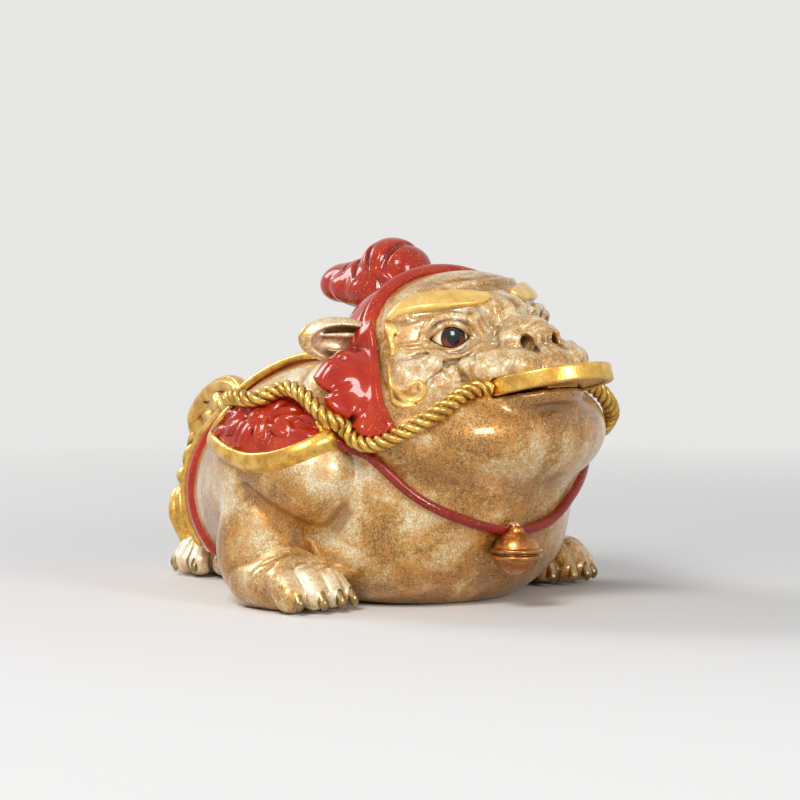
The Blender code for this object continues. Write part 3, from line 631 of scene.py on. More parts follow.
# the other metals: bright gold, worn gold, and how metallic
METALS = (("leaf", "bright_gold_leaf", (0.95, 0.66, 0.2, 1), (0.72, 0.4, 0.09, 1), 0.45),
          ("bell", "bell_bronze", (0.62, 0.27, 0.06, 1), (0.3, 0.1, 0.025, 1), 0.9),
          ("claw", "claw_bronze", (0.5, 0.34, 0.14, 1), (0.13, 0.08, 0.03, 1), 0.9),
          ("loop", "pale_loop", (0.9, 0.74, 0.5, 1), (0.7, 0.5, 0.28, 1), 0.9))
PAINTS = {}


def make_paints():
    """The materials, from the colours in the panel."""
    chosen = bpy.context.scene.toad_colours
    colours = {key: tuple(getattr(chosen, key)) for key in ToadColours.__annotations__}
    cord = {**colours, "red": (0.22, 0.008, 0.005, 1), "scarlet": (0.3, 0.014, 0.008, 1)}
    PAINTS.update(skin=skin_paint("mottled_patina", colours), face=skin_paint("streaked_patina", colours, True),
                  enamel=enamel_paint("red_enamel", colours), cord=enamel_paint("red_cord", cord),
                  gilt=gilt_paint("antique_gilt", colours), coin=gilt_paint("coin_gold", colours),
                  eye=eye_paint("eye_lacquer", colours))
    for key, name, gold, old_gold, metallic in METALS:
        PAINTS[key] = gilt_paint(name, {**colours, "gold": gold, "old_gold": old_gold}, metallic)


# Skin

def tone_and_shade_values(points, out):
    """How brown the patina is: darker low on the belly and throat, pale on brow, cheeks and feet; painted shade darkens
    the undersides and the fold under the upper arm.
    """
    x, y, z = points
    # painted shade on the faces turned downwards
    under = np.clip(0.4 - out[2], 0, 1) * 0.16
    belly = np.clip((46 - z) / 30, 0, 1) * np.clip((20 - y) / 30, 0, 1) * np.clip((40 - np.abs(x)) / 14, 0, 1)
    throat = np.clip(1 - np.abs(z - 47) / 18, 0, 1) * np.clip((-34 - y) / 14, 0, 1)
    # browner under the bulge of the upper arm, partly painted shade
    arm_fold_shade = np.exp(-((np.abs(x) - 50) ** 2 + (y + 11) ** 2 + (z - 23) ** 2) / 60)
    return {"tone": 0.46 + under + 0.14 * belly + 0.08 * throat + 0.3 * arm_fold_shade}


def make_body(context):
    """The trunk in the round, with the folds of the upper legs and the throat."""
    clay = body_clay()
    for points, radii, blend, mode in (
            (((55.5, 0, 33), (56.5, -2.5, 31.0), (55.8, -5.6, 28.4), (54.2, -9.4, 25.9), (51.8, -12.0, 23.6),
              (48.6, -14.2, 21.6), (45.0, -17.2, 20.6), (43.0, -21.6, 22.6), (42.4, -25.2, 27.0)),
             (0.2, 1.0, 1.8, 2.0, 1.8, 1.0, 0.4), 3.4, "cut"),
            (((48.6, -13.0, 21.6), (46.4, -12.6, 18.4), (45.0, -12.4, 16.0)), (0.9, 0.8, 0.4), 2.4, "cut"),
            (((-20, -47, 55), (-14, -56.5, 57), (-7, -61.5, 58.4), (0, -63, 59), (7, -61.5, 58.4), (14, -56.5, 57),
              (20, -47, 55)), (2.4, 3.0, 3.0, 3.0, 2.4), 3.0, "add"),
            (((36, 14, 10), (41.5, 2, 12), (41, -8, 15)), (0.6, 1.2, 0.6), 2.5, "cut")):
        clay.strand(points, radii, blend, mode)
    middle, _ = coin_frame()
    clay.touch(coin_room(0.25), middle - 22, middle + 22, 0.3, "cut")
    clay.keep((0, 0, 0), (0, 0, -1), 1.2)
    cast_piece("toad_body", clay, (-66, -70, -3), (66, 84, 76), 0.85, "skin", tone_and_shade_values, 2.4)


def coin_room(extra):
    """The room that the coin takes, with this much air round it."""
    sizes = bpy.context.scene.toad_sizes
    radius, half = sizes.coin_radius / MM + extra, sizes.coin_thickness / MM / 2 + extra
    middle, spin = coin_frame()

    def disc(q):
        v = spin @ (q - middle[:, None])
        return np.maximum(np.sqrt(v[0] ** 2 + v[1] ** 2) - radius, np.abs(v[2]) - half)

    return disc


def coin_frame():
    """The coin's middle in millimetres and the turn from the toad's axes to its own."""
    return np.float32((0, -59.5, 61.0)), turned((-math.degrees(bpy.context.scene.toad_sizes.coin_tilt), 0, 0))


def make_head(context):
    """Face and ears."""
    clay = face_clay()
    clay.keep((0, 6, 0), (0, 1, 0), 0.3).keep((0, 0, -27), (0, 0, -1), 0.3)
    room = coin_room(0.1)

    def measure(points):
        return -merged(-clay.at(points), room(points), 0.3)

    cast_piece("toad_face", measure, (-38, -68, 43), (38, -12, 96), 0.42, "face", face_tone_and_light, 1.3)
    ear = Clay(HEAD, (0, -math.degrees(ROLL), 0))
    ear.ball((34.0, 8.0, 2.0), (11.0, 3.6, 6.3), 1, (0, -6, 30)).ball((27.5, 3.5, 0.5), (6.0, 3.6, 5.0), 3)
    ear.ball((34.2, 4.6, 1.2), (9.6, 3.9, 4.9), 0.7, (0, -6, 30), "cut")
    ear.strand(((27, 3.4, 3.0), (33, 5.6, 3.4), (39, 9.6, 3.8)), (0.4, 0.8, 0.4), 1.0)
    ear.strand(((28, 2.6, -1.5), (33, 5.4, -1.2), (37.5, 8.6, -0.4)), (0.3, 0.6, 0.3), 1.0)
    cast_piece("ears", ear, (-50, -34, 60), (50, 2, 88), 0.42, "skin", even_tone(0.44))


def face_tone_and_light(points, out):
    """The face is pale, with warm brown on the crown, between the eyes and round the muzzle; a painted highlight pales
    the cheek puff, and painted shade darkens the undersides and the nostrils.
    """
    q = BARE_HEAD.local(points)
    crown = np.clip((q[2] - 12.5) / 4, 0, 1)
    bridge = np.clip(1 - q[0] / 9, 0, 1) * np.clip((-q[1] - 18) / 6, 0, 1)
    # painted highlight: the cheek puff is made paler
    cheek_highlight = np.clip(1 - np.sqrt((q[0] - 30) ** 2 + (q[1] + 15) ** 2 + (q[2] + 9) ** 2) / 9, 0, 1)
    # painted shade: the nostrils are filled with near black
    away = np.sqrt(((q[0] - 5.4) / 2.3) ** 2 + ((q[2] + 0.1) / 2.6) ** 2) + 9 * (q[1] > -29)
    nostril_shade = np.clip((1.0 - away) / 0.3, 0, 1)
    # painted shade darkens the faces turned downwards
    return {"tone": 0.32 + 0.2 * crown + 0.12 * bridge - 0.25 * cheek_highlight + 0.1 * np.clip(0.2 - out[2], 0, 1)
            + 1.4 * nostril_shade}


def even_tone(value):
    """The same brownness all over a piece."""
    return lambda points, out: {"tone": np.full(points.shape[1], value)}


def foot_clay():
    """A front foot: the paw's back, four toes and the heel."""
    clay = Clay()
    clay.ball((49.5, -9.5, 7.6), (11.4, 11.6, 8.6), 1).ball((49, 0, 7.0), (9.5, 9, 8), 4)
    clay.ball((49.6, -13.5, 6.2), (9.4, 8, 6.6), 2)
    for root, knuckle, tip, radius in (
            ((53.5, -9, 6.5), (56.6, -15.5, 8.4), (57.6, -20.0, 4.8), 4.4),
            ((50.5, -12, 6.5), (52.2, -19.2, 9.2), (52.2, -23.4, 4.8), 3.8),
            ((47.5, -12, 6.5), (46.6, -19.8, 9.0), (46.3, -24.1, 4.8), 3.6),
            ((44, -10, 6.0), (41.4, -17.8, 7.8), (40.6, -22.2, 4.6), 3.3)):
        clay.strand((root, knuckle, tip), (radius * 0.8, radius * 1.06, radius), 0.7)
    clay.strand(((57, -3.5, 10.5), (54.6, -7.6, 14.0), (50.2, -10.0, 15.6), (45.2, -11.6, 15.2), (41.6, -15.6, 12.2)),
                (0.6, 1.1, 1.1, 0.5), 0.9)
    for line, radii in (
            (((58.6, -7, 8.5), (56.6, -11, 12.0), (52, -13.6, 14.2), (46, -14.4, 13.4)), (0.4, 0.7, 0.6, 0.3)),
            (((60.4, -14.6, 7.4), (58.0, -13.6, 12.0), (54.6, -13.0, 12.8)), (0.3, 0.6, 0.3)),
            (((59.4, -18.6, 9.0), (57.2, -18.0, 12.0), (54.4, -17.6, 10.5)), (0.3, 0.5, 0.3)),
            (((54.6, -18.4, 12.6), (52.2, -18.2, 13.4), (49.8, -18.0, 12.4)), (0.3, 0.55, 0.3)),
            (((49.0, -18.8, 12.0), (46.8, -18.6, 12.8), (44.6, -18.2, 11.6)), (0.3, 0.5, 0.3)),
            (((54.8, -15.6, 13.0), (51.4, -15.2, 13.6), (46.0, -15.8, 12.8)), (0.3, 0.5, 0.3)),
            (((54.4, -20.8, 12.4), (52.4, -21.2, 12.6), (50.2, -20.8, 12.2)), (0.3, 0.5, 0.3)),
            (((48.8, -21.4, 12.0), (46.6, -21.8, 12.2), (44.6, -21.2, 11.6)), (0.3, 0.5, 0.3))):
        clay.stroke(line, radii, 0.7, "cut")
    return clay.keep((0, 0, 0), (0, 0, -1), 0.8)


CLAWS = (((57.8, -22.4, 5.4), (58.3, -24.2, 3.2), (58.3, -24.4, 1.8)),
         ((52.2, -25.7, 5.2), (52.3, -27.2, 3.2), (52.2, -27.4, 1.8)),
         ((46.3, -26.3, 5.2), (46.1, -27.6, 3.2), (46.0, -27.8, 1.8)),
         ((40.0, -24.1, 5.0), (39.5, -25.6, 3.2), (39.4, -25.8, 1.8)))


def hind_toes():
    """The four toes of the single hind foot, as root, knuckle, tip and the way they point."""
    toes = []
    for heading in (35, 68, 101, 134):
        turn = math.radians(heading)
        out = np.array((-math.sin(turn), math.cos(turn), 0))
        sole = np.array((0, 68, 7.0))
        toes.append((sole, sole + out * 8.5 + (0, 0, 1.8), sole + out * 12.6 + (0, 0, -2.6), out))
    return toes


def make_feet(context):
    """Front feet, the hind foot and all the claws."""
    # pale feet, with painted shade on the faces turned downwards
    pale = lambda points, out: {"tone": 0.4 + 0.1 * np.clip(0.3 - out[2], 0, 1)}
    cast_piece("front_feet", foot_clay(), (-64, -32, -2), (64, 12, 20), 0.5, "skin", pale)
    hind = Clay(mirror=False)
    hind.ball((0, 68, 7), (11, 12, 8), 1).ball((3, 58, 12), (10, 12, 9), 4)
    for root, knuckle, tip, _ in hind_toes():
        hind.strand((root, knuckle, tip), (3.4, 3.8, 3.7), 0.6)
    hind.keep((0, 0, 0), (0, 0, -1), 0.8)
    cast_piece("hind_foot", hind, (-20, 40, -2), (20, 88, 26), 0.5, "skin", even_tone(0.1))
    claws = Clay()
    for line in CLAWS:
        claws.strand(line, (1.7, 1.5, 0.7), 0.0)
    cast_piece("front_claws", claws, (-64, -34, -1), (64, -20, 10), 0.32, "claw", reach=0.8)
    talons = Clay(mirror=False)
    for _, _, tip, out in hind_toes():
        talons.strand((tip + out * 2.2 + (0, 0, 0.6), tip + out * 3.2 + (0, 0, -1.2), tip + out * 3.4 + (0, 0, -2.4)),
                      (1.5, 1.2, 0.6), 0.0)
    cast_piece("hind_claws", talons, (-22, 56, -1), (8, 90, 10), 0.32, "claw", reach=0.8)


def make_eyes(context):
    """The lacquered eyeballs."""
    radius = context.scene.toad_sizes.eye_radius / MM
    turn = BARE_HEAD.turn.T
    for side, name in ((-1, "right_eye"), (1, "left_eye")):
        gaze = EYE_OUT - 0.1 * EYE_ALONG
        gaze /= np.linalg.norm(gaze)
        across = np.cross(gaze, (0, 0, 1))
        across /= np.linalg.norm(across)
        upward = np.cross(across, gaze)
        points, from_gaze, up = [gaze * radius], [0.0], [0.0]
        rings, sides = 40, 48
        for i in range(1, rings):
            polar = math.pi * i / rings
            for j in range(sides):
                a = 2 * math.pi * j / sides
                aside = across * math.cos(a) + upward * math.sin(a)
                points.append(radius * (gaze * math.cos(polar) + aside * math.sin(polar)))
                from_gaze.append(radius * polar)
                up.append(radius * math.sin(polar) * math.sin(a))
        points.append(-gaze * radius)
        from_gaze.append(radius * math.pi)
        up.append(0.0)
        faces = []
        for j in range(0, sides, 2):
            faces.append((0, 1 + j, 1 + j + 1, 1 + (j + 2) % sides))
            last = 1 + (rings - 2) * sides
            faces.append((len(points) - 1, last + (j + 2) % sides, last + j + 1, last + j))
        for i in range(rings - 2):
            for j in range(sides):
                k = (j + 1) % sides
                a, b = 1 + i * sides, 1 + (i + 1) * sides
                faces.append((a + j, b + j, b + k, a + k))
        lid = eye_opening((np.array(points) + EYE).T)
        place = (np.array(points) + EYE) * (side, 1, 1)
        if side < 0:
            faces = [face[::-1] for face in faces]
        world = turn @ place.T + np.float32(HEAD)[:, None]
        mesh_piece(name, world, faces, "eye", {"from_gaze": from_gaze, "up": up, "lid": lid})


def make_face_gilding(context):
    """The gilt brows and the curls on the cheeks and temples."""
    brow = Clay(HEAD, (0, -math.degrees(ROLL), 0))
    brow.strand(((27.2, -4.6, 7.4), (25.8, -5.8, 8.6), (23.4, -8.2, 10.6), (20.1, -12.7, 11.9), (17.3, -15.2, 12.1),
                 (13.4, -18.0, 12.4), (9.0, -20.0, 12.2), (5.6, -20.8, 12.4)),
                (0.5, 1.6, 2.6, 3.1, 3.1, 2.9, 2.4, 1.5), 0)
    face = FACE

    def brows(points):
        shape = -merged(-brow.at(points), -(face.at(points) - 1.2), 0.8)
        return -merged(-shape, -(-face.at(points) - 1.0), 0.2)

    cast_piece("brows", brows, (-32, -48, 72), (32, -20, 92), 0.35, "leaf", reach=1.0)
    curls = Clay(mirror=False)
    whole = lambda points: np.minimum(face.at(points), BODY.at(points))
    for points, radii in (
            (((32.3, -33.0, 63.4), (32.5, -34.5, 60.0), (33.6, -37.0, 57.6), (34.2, -40.0, 56.6), (33.8, -42.4, 56.8),
              (31.6, -43.4, 58.0), (29.8, -42.2, 60.0), (29.9, -39.6, 61.6), (31.2, -38.2, 60.8)),
             (0.4, 1.3, 1.0, 1.3, 1.3, 1.1, 1.1, 0.9, 0.4)),
            (((33.9, -34.0, 58.4), (35.2, -37.4, 55.4), (35.2, -40.6, 54.8), (34.0, -43.6, 55.4)),
             (0.3, 1.0, 0.9, 0.3)),
            (((31.6, -31.2, 66.0), (32.4, -32.6, 63.0), (33.6, -33.0, 60.6)), (0.3, 0.7, 0.3)),
            (((27.6, -26.4, 76.6), (28.9, -28.4, 75.2), (29.6, -29.4, 73.2), (30.6, -30.8, 70.8), (31.2, -31.2, 68.8)),
             (0.5, 1.7, 1.2, 1.0, 0.3)),
            (((26.8, -27.6, 76.4), (27.6, -29.6, 75.4), (28.4, -31.2, 74.0)), (0.3, 0.8, 0.3))):
        for side in (-1, 1):
            line, _ = on_surface(whole, smooth_path([(side * x, y, z) for x, y, z in points], 3), 0.15)
            curls.strand(line, radii, 0.4, parts=1)
    cast_piece("cheek_curls", curls, (-39, -48, 50), (39, -22, 82), 0.3, "leaf", reach=0.8)


FACE = face_clay()


# Dress

HOOD_PLANE = ((0.0, -1.5, 0.0), (0.0, -1.0, 0.293))
# the cape's outline as the photograph's angle shows it: how far across, (|x| + y) over the root of two, and up
CAPE = ((4.8, 78.4), (9.0, 74.5), (12.5, 70.5), (15.9, 68.3), (17.1, 67.9), (18.3, 66.4), (20.8, 62.6),
        (19.6, 60.7), (16.5, 58.6), (17.8, 57.4), (17.2, 55.3), (15.3, 53.2), (11.8, 51.9), (9.5, 52.5),
        (10.1, 49.9), (8.3, 47.9), (5.6, 47.1), (1.6, 48.0), (-1.6, 49.9), (1.6, 56.4), (3.5, 69.8))
CAPE_FOLDS = (((15.9, 68.3), (8, 66)), ((16.5, 58.6), (8.5, 62)), ((9.5, 52.5), (5.5, 58)),
              ((12.5, 70.5), (6, 70)))


def outline_distance(u, v, outline):
    """Signed distance to a closed outline in a plane."""
    corners = np.float32(outline)
    best = np.full(u.shape, 1e6, np.float32)
    inside = np.zeros(u.shape, bool)
    for i in range(len(corners)):
        (ax, ay), (bx, by) = corners[i], corners[(i + 1) % len(corners)]
        ex, ey = bx - ax, by - ay
        t = np.clip(((u - ax) * ex + (v - ay) * ey) / (ex * ex + ey * ey), 0, 1)
        best = np.minimum(best, (u - ax - t * ex) ** 2 + (v - ay - t * ey) ** 2)
        if ey:
            inside ^= ((ay > v) != (by > v)) & (u < ex * (v - ay) / ey + ax)
    return np.where(inside, -1, 1) * np.sqrt(best)


def hood_measure():
    """The hood behind the face: a swollen head cut by a plane, its rolled rim, and the pointed cape on each side."""
    shell = head_clay(1.5)
    shell.ball((24, -6, -17), (14.6, 14.6, 10.6), 5)
    plane, normal = np.float32(HOOD_PLANE[0]), np.float32(HOOD_PLANE[1])
    normal /= np.linalg.norm(normal)

    def measure(points):
        q = shell.local(points)
        skin = shell.read(q)
        ahead = ((q - plane[:, None]) * normal[:, None]).sum(0)
        hood = -merged(-skin, -ahead, 0.4)
        rim = np.sqrt((ahead + 0.2) ** 2 + (skin + 0.4) ** 2) - 1.85
        groove = np.sqrt((ahead + 3.0) ** 2 + skin ** 2) - 0.7
        hood = -merged(-hood, groove, 0.8)
        hood = merged(hood, rim, 0.5)
        side = np.abs(points[0])
        along = 0.7071 * (side + points[1])
        under = merged(BODY.at(points), skin, 3.0)
        cape = outline_distance(along, points[2], CAPE)
        lift = 0.9 + 0.05 * np.clip(along - 5, 0, 20) + 0.5 * np.exp(-((cape + 1.5) / 0.9) ** 2)
        for (ax, az), (bx, bz) in CAPE_FOLDS:
            t = np.clip(((along - ax) * (bx - ax) + (points[2] - az) * (bz - az))
                        / ((bx - ax) ** 2 + (bz - az) ** 2), 0, 1)
            away = (along - ax - t * (bx - ax)) ** 2 + (points[2] - az - t * (bz - az)) ** 2
            lift = lift - 0.8 * (1 - t) * np.exp(-away / 0.7)
        slab = -merged(-cape, -(np.abs(under - lift) - 1.1), 0.8)
        slab = np.maximum(slab, 40 - side + points[1])
        return merged(hood, slab, 1.2)

    return measure


def knot_clay():
    """The knot on the crown: two swags, the tail behind and the folds that run into the tie."""
    clay = Clay()
    for centre, radii, blend, turn in (
            ((0, -1.0, 91.0), (9.6, 8.6, 8.6), 1, None), ((0, -7.0, 91.0), (7.8, 5.4, 6.4), 1.2, (-10, 0, 0)),
            ((0, 8, 88.0), (8.2, 8.0, 6.0), 3, None), ((0, 17.5, 86.6), (7.4, 7.6, 5.6), 3, (-12, 0, 0)),
            ((5.4, 3.0, 87.5), (4.4, 5.0, 5.0), 1.2, None), ((6.4, 12.0, 85.6), (3.2, 4.6, 3.6), 1.2, None),
            ((0, 0, 84), (11, 15, 6), 4, None)):
        clay.ball(centre, radii, blend, turn)
    for points, radii, mode in (
            (((0, -6.2, 98.4), (6.0, -5.6, 95.6), (9.4, -5.2, 90.4), (10.0, -6.0, 86)), (0.5, 0.8, 0.9, 0.5), "cut"),
            (((3.5, 2.0, 98.6), (7.4, 0.8, 95.2), (9.8, -1.4, 90.6)), (0.3, 0.6, 0.3), "cut"),
            (((3, 7.2, 94), (6.8, 6.4, 91.6), (9.6, 3.6, 87.4)), (0.5, 0.9, 0.6), "cut"),
            (((0, 12.5, 92.6), (4.6, 12.0, 90.6), (8.2, 10.0, 86.4)), (0.3, 0.5, 0.4), "cut"),
            (((7.0, -8.6, 86.5), (8.6, -6.0, 89.0), (8.8, -2.0, 90.5)), (0.5, 0.8, 0.4), "add"),
            (((9.6, 6.0, 84.6), (8.4, 3.4, 88.2), (5.6, 1.0, 92.0)), (0.5, 0.9, 0.4), "add"),
            (((8.6, 12.4, 83.8), (7.6, 9.0, 87.2), (4.4, 6.6, 90.6)), (0.4, 0.7, 0.3), "add")):
        clay.strand(points, radii, 1.4, mode)
    return clay


def make_hood(context):
    """The red hood with its cape, and the knot on the crown."""
    cast_piece("hood", hood_measure(), (-52, -42, 42), (52, 8, 98), 0.55, "enamel", reach=1.8)
    cast_piece("crown_knot", knot_clay(), (-16, -20, 76), (16, 28, 102), 0.5, "enamel")


def cloth_edge(y):
    """Half the saddle cloth's width along the back."""
    return 15.5 + 6.0 * np.clip((y - 25) / 35, 0, 1)


def flap_frame():
    """The middle of a saddle flap, and its long, cross and outward directions."""
    facing = np.array((0.77, -0.04, 0.63))
    facing /= np.linalg.norm(facing)
    along = np.array((0, 1, -0.07))
    along -= facing * along.dot(facing)
    along /= np.linalg.norm(along)
    return np.array((49.0, -3.0, 47.5)), along, np.cross(facing, along), facing


FLAP = ((24, -2), (20, 1.5), (14, 5.5), (7, 8.6), (0, 10), (-8, 9.8), (-15, 7.2), (-20, 3.4), (-23.4, -0.6),
        (-20.2, -6.8), (-15, -10.9), (-8.4, -12.9), (0, -13.0), (8, -11.2), (15, -8.0), (21.4, -4.4), (24, -2))


def dome(r, height):
    """A low dome of this height inside r = 1, and far below the cloth outside it."""
    return np.where(r < 1, height * np.sqrt(np.clip(1 - r * r, 0, 1)), -9)


def flap_reading(points):
    """Place along and across a flap, and the signed distance to its leaf-shaped edge."""
    middle, along, across, _ = flap_frame()
    sizes = bpy.context.scene.toad_sizes
    v = np.stack((np.abs(points[0]), points[1], points[2])) - middle[:, None]
    s, w = (v * along[:, None]).sum(0), (v * across[:, None]).sum(0)
    outline = smooth_path(FLAP, 3)[:-1] * (sizes.flap_length / MM / 47.4, sizes.flap_height / MM / 23)
    return s, w, outline_distance(s, w, outline)


def make_saddle(context):
    """The saddle cloth down the back with its gilt border, and the flaps with their flowers and gilt rims."""
    sizes = context.scene.toad_sizes

    def cloth(points):
        x, y, z = points
        skin = BODY.at(points)
        slab = np.abs(skin - 0.4) - sizes.cloth_thickness / MM
        edge = np.maximum(np.abs(x) - cloth_edge(y) + 0.8 - 4.6 * np.clip((y - 45) / 15, 0, 1),
                          np.maximum(8.0 - z, 4.0 - y))
        return -merged(-slab, -edge, 1.2)

    cast_piece("saddle_cloth", cloth, (-28, 0, 5), (28, 80, 76), 0.7, "enamel")
    half = ((15.5, 6, 68), (15.5, 15, 68), (15.5, 25, 66), (18, 40, 58), (20.5, 52, 50), (21.5, 60, 42),
            (21.5, 64, 34), (21, 65.5, 25), (20, 65, 16), (19, 63, 9))
    borders = []
    for side in (-1, 1):
        line, _ = on_surface(BODY.at, smooth_path([(side * x, y, z) for x, y, z in half], 6), 1.6)
        borders.append(line)
    tube_piece("saddle_border", borders, 1.15, 12, "gilt")

    def pad(points):
        s, w, edge = flap_reading(points)
        skin = BODY.at(points)
        dish = 0.9 + 0.5 * np.clip(1 + edge / 8, 0, 1)
        relief = np.full(s.shape, -9.0, np.float32)
        for i in range(8):
            turn = 2 * math.pi * (i + 0.5) / 8
            cs, cw = 9.0 * math.cos(turn), 5.2 * math.sin(turn)
            ds, dw = s - cs, w - cw - 0.5
            u = (ds * math.cos(turn) + dw * math.sin(turn)) / 4.6
            v = (-ds * math.sin(turn) + dw * math.cos(turn)) / 3.0
            r = np.sqrt(u * u + v * v)
            relief = np.maximum(relief, 2.0 * np.sqrt(np.clip(1 - r * r, 0, 1)) - 0.7 * np.exp(-(v * 2.6) ** 2)
                                - 9 * (r > 1))
        relief = np.maximum(relief, dome(np.sqrt(s * s + (w - 0.5) ** 2) / 3.6, 2.1))
        for end in (-1, 1):
            for row in (-1, 1):
                u = (s - end * 17) / 5.2
                v = (w - row * 2.6 - 0.4) / 1.9
                relief = np.maximum(relief, dome(np.sqrt(u * u + v * v), 1.2))
        top = dish + np.maximum(relief, 0)
        slab = np.maximum(skin - top, -skin - 1.0)
        return np.maximum(np.maximum(slab, edge + 0.9), 20 - np.abs(points[0]))

    def rim(points):
        s, w, edge = flap_reading(points)
        skin = BODY.at(points)
        half = sizes.flap_rim / MM * (1 - 0.6 * np.clip((w - 1) / 4, 0, 1))
        across, height = np.abs(edge + half - 0.2) - half, np.abs(skin - 0.8) - 2.1 + 0.12 * (edge + half) ** 2
        return np.maximum(-merged(-across, -height, 0.9), 20 - np.abs(points[0]))

    for name, measure, paint in (("flap_flowers", pad, "enamel"), ("flap_rims", rim, "gilt")):
        cast_piece(name, measure, (-66, -36, 30), (66, 32, 68), 0.5, paint, reach=1.4)


def dressed(points):
    """The toad with hood and flaps, for whatever lies on top of them."""
    _, _, edge = flap_reading(points)
    skin = np.minimum(BODY.at(points), HOOD(points))
    flap = np.maximum(np.maximum(BODY.at(points) - 2.6, edge - 1.5), 20 - np.abs(points[0]))
    return np.minimum(np.minimum(skin, flap), BARE_HEAD.at(points))


HOOD = hood_measure()
ROPE = ((16, -54.5, 60.0), (20.2, -52.5, 58.7), (25.2, -51.4, 57.2), (30.8, -50.3, 53.9), (35, -48, 51.1),
        (39.1, -42.9, 47.9), (41, -38, 46), (42.5, -32, 46), (45, -28, 48.6), (46.8, -24.5, 51.6), (47.6, -20.5, 55),
        (47.8, -15.5, 57.9), (48.2, -10, 58.7), (49.5, -6.5, 57.3), (51.8, -3.5, 55.4), (52, 1, 54.6),
        (50.5, 7.8, 54.7), (47.5, 14.5, 54), (41.5, 23, 53), (34, 33, 53.5), (25, 42, 54), (16, 49, 55), (7, 57, 53))


def node_group(name, inputs):
    """An empty geometry tree with named inputs, and its two end nodes."""
    tree = bpy.data.node_groups.new(name, "GeometryNodeTree")
    tree.interface.new_socket("Geometry", in_out="OUTPUT", socket_type="NodeSocketGeometry")
    tree.interface.new_socket("Geometry", in_out="INPUT", socket_type="NodeSocketGeometry")
    for label, kind in inputs:
        tree.interface.new_socket(label, in_out="INPUT", socket_type=kind)
    return tree, tree.nodes.new("NodeGroupInput").outputs, tree.nodes.new("NodeGroupOutput").inputs


def rope_tree():
    """Twisted rope along a curve: a lobed section swept with a steady twist."""
    tree, given, result = node_group("Twisted Rope", (
        ("Rope Radius", "NodeSocketFloat"), ("Strand Depth", "NodeSocketFloat"), ("Pitch", "NodeSocketFloat"),
        ("Step", "NodeSocketFloat"), ("Strands", "NodeSocketInt"), ("Paint", "NodeSocketMaterial")))

    def add(kind, inputs=(), out=0, **settings):
        return add_node(tree, kind, inputs, **settings).outputs[out]

    def maths(what, a, b=0.0):
        return add("ShaderNodeMath", {0: a, 1: b}, operation=what)

    path = add("GeometryNodeResampleCurve", {"Curve": given["Geometry"], "Length": given["Step"]}, mode="LENGTH")
    along = add("GeometryNodeSplineParameter", out="Length")
    twist = maths("MULTIPLY", maths("DIVIDE", along, given["Pitch"]), 2 * math.pi)
    path = add("GeometryNodeSetCurveTilt", {"Curve": path, "Tilt": twist})
    circle = add("GeometryNodeCurvePrimitiveCircle", {"Resolution": 30, "Radius": 1.0})
    turn = maths("MULTIPLY", add("GeometryNodeSplineParameter", out="Factor"), given["Strands"])
    lobe = maths("ABSOLUTE", maths("SINE", maths("MULTIPLY", turn, math.pi)))
    groove = maths("MULTIPLY", given["Strand Depth"], maths("SUBTRACT", 1.0, maths("POWER", lobe, 0.7)))
    reach = maths("MULTIPLY", given["Rope Radius"], maths("SUBTRACT", 1.0, groove))
    spot = add("ShaderNodeVectorMath", {0: add("GeometryNodeInputPosition"), "Scale": reach}, operation="SCALE")
    section = add("GeometryNodeSetPosition", {"Geometry": circle, "Position": spot})
    held = add_node(tree, "GeometryNodeCaptureAttribute", domain="POINT")
    held.capture_items.new("FLOAT", "Lobe")
    feed(tree, held.inputs["Geometry"], section)
    feed(tree, held.inputs["Lobe"], lobe)
    rope = add("GeometryNodeCurveToMesh", {"Curve": path, "Profile Curve": held.outputs["Geometry"],
                                           "Fill Caps": True})
    # the grooves between the strands are kept as low "open", for painted shade there
    rope = add("GeometryNodeStoreNamedAttribute",
               {"Geometry": rope, "Name": "open", "Value": maths("POWER", held.outputs["Lobe"], 0.8)},
               data_type="FLOAT", domain="POINT")
    rope = add("GeometryNodeRealizeInstances", {"Geometry": rope})
    rope = add("GeometryNodeSetMaterial", {"Geometry": rope, "Material": given["Paint"]})
    feed(tree, result["Geometry"], rope)
    return tree


def grown(name, line, radius, depth, pitch, step, strands):
    """A gilt rope as a plain mesh, grown along a line of points by the geometry tree."""
    holder = bpy.data.objects.new(name + "_guide", curve_of(line))
    bpy.context.scene.collection.objects.link(holder)
    modifier = holder.modifiers.new("Growth", "NODES")
    modifier.node_group = tree = rope_tree()
    sockets = {item.name: item.identifier for item in tree.interface.items_tree if item.in_out == "INPUT"}
    for label, value in (("Rope Radius", radius), ("Strand Depth", depth), ("Pitch", pitch), ("Step", step),
                         ("Strands", strands), ("Paint", PAINTS["gilt"])):
        modifier[sockets[label]] = value
    seen = holder.evaluated_get(bpy.context.evaluated_depsgraph_get())
    mesh = bpy.data.meshes.new_from_object(seen)
    mesh.name = name
    holder.modifiers.remove(modifier)
    bpy.data.objects.remove(holder)
    mesh.polygons.foreach_set("use_smooth", np.ones(len(mesh.polygons), bool))
    return adopt(bpy.data.objects.new(name, mesh), "gilt")


def curve_of(line):
    """A curve in the frame's metres through a line of points in millimetres."""
    curve = bpy.data.curves.new("guide", "CURVE")
    curve.dimensions = "3D"
    curve.twist_mode = "MINIMUM"
    spline = curve.splines.new("POLY")
    spline.points.add(len(line) - 1)
    co = (np.array(line) + TO_FRAME) * MM
    spline.points.foreach_set("co", np.column_stack((co, np.ones(len(co)))).ravel())
    return curve


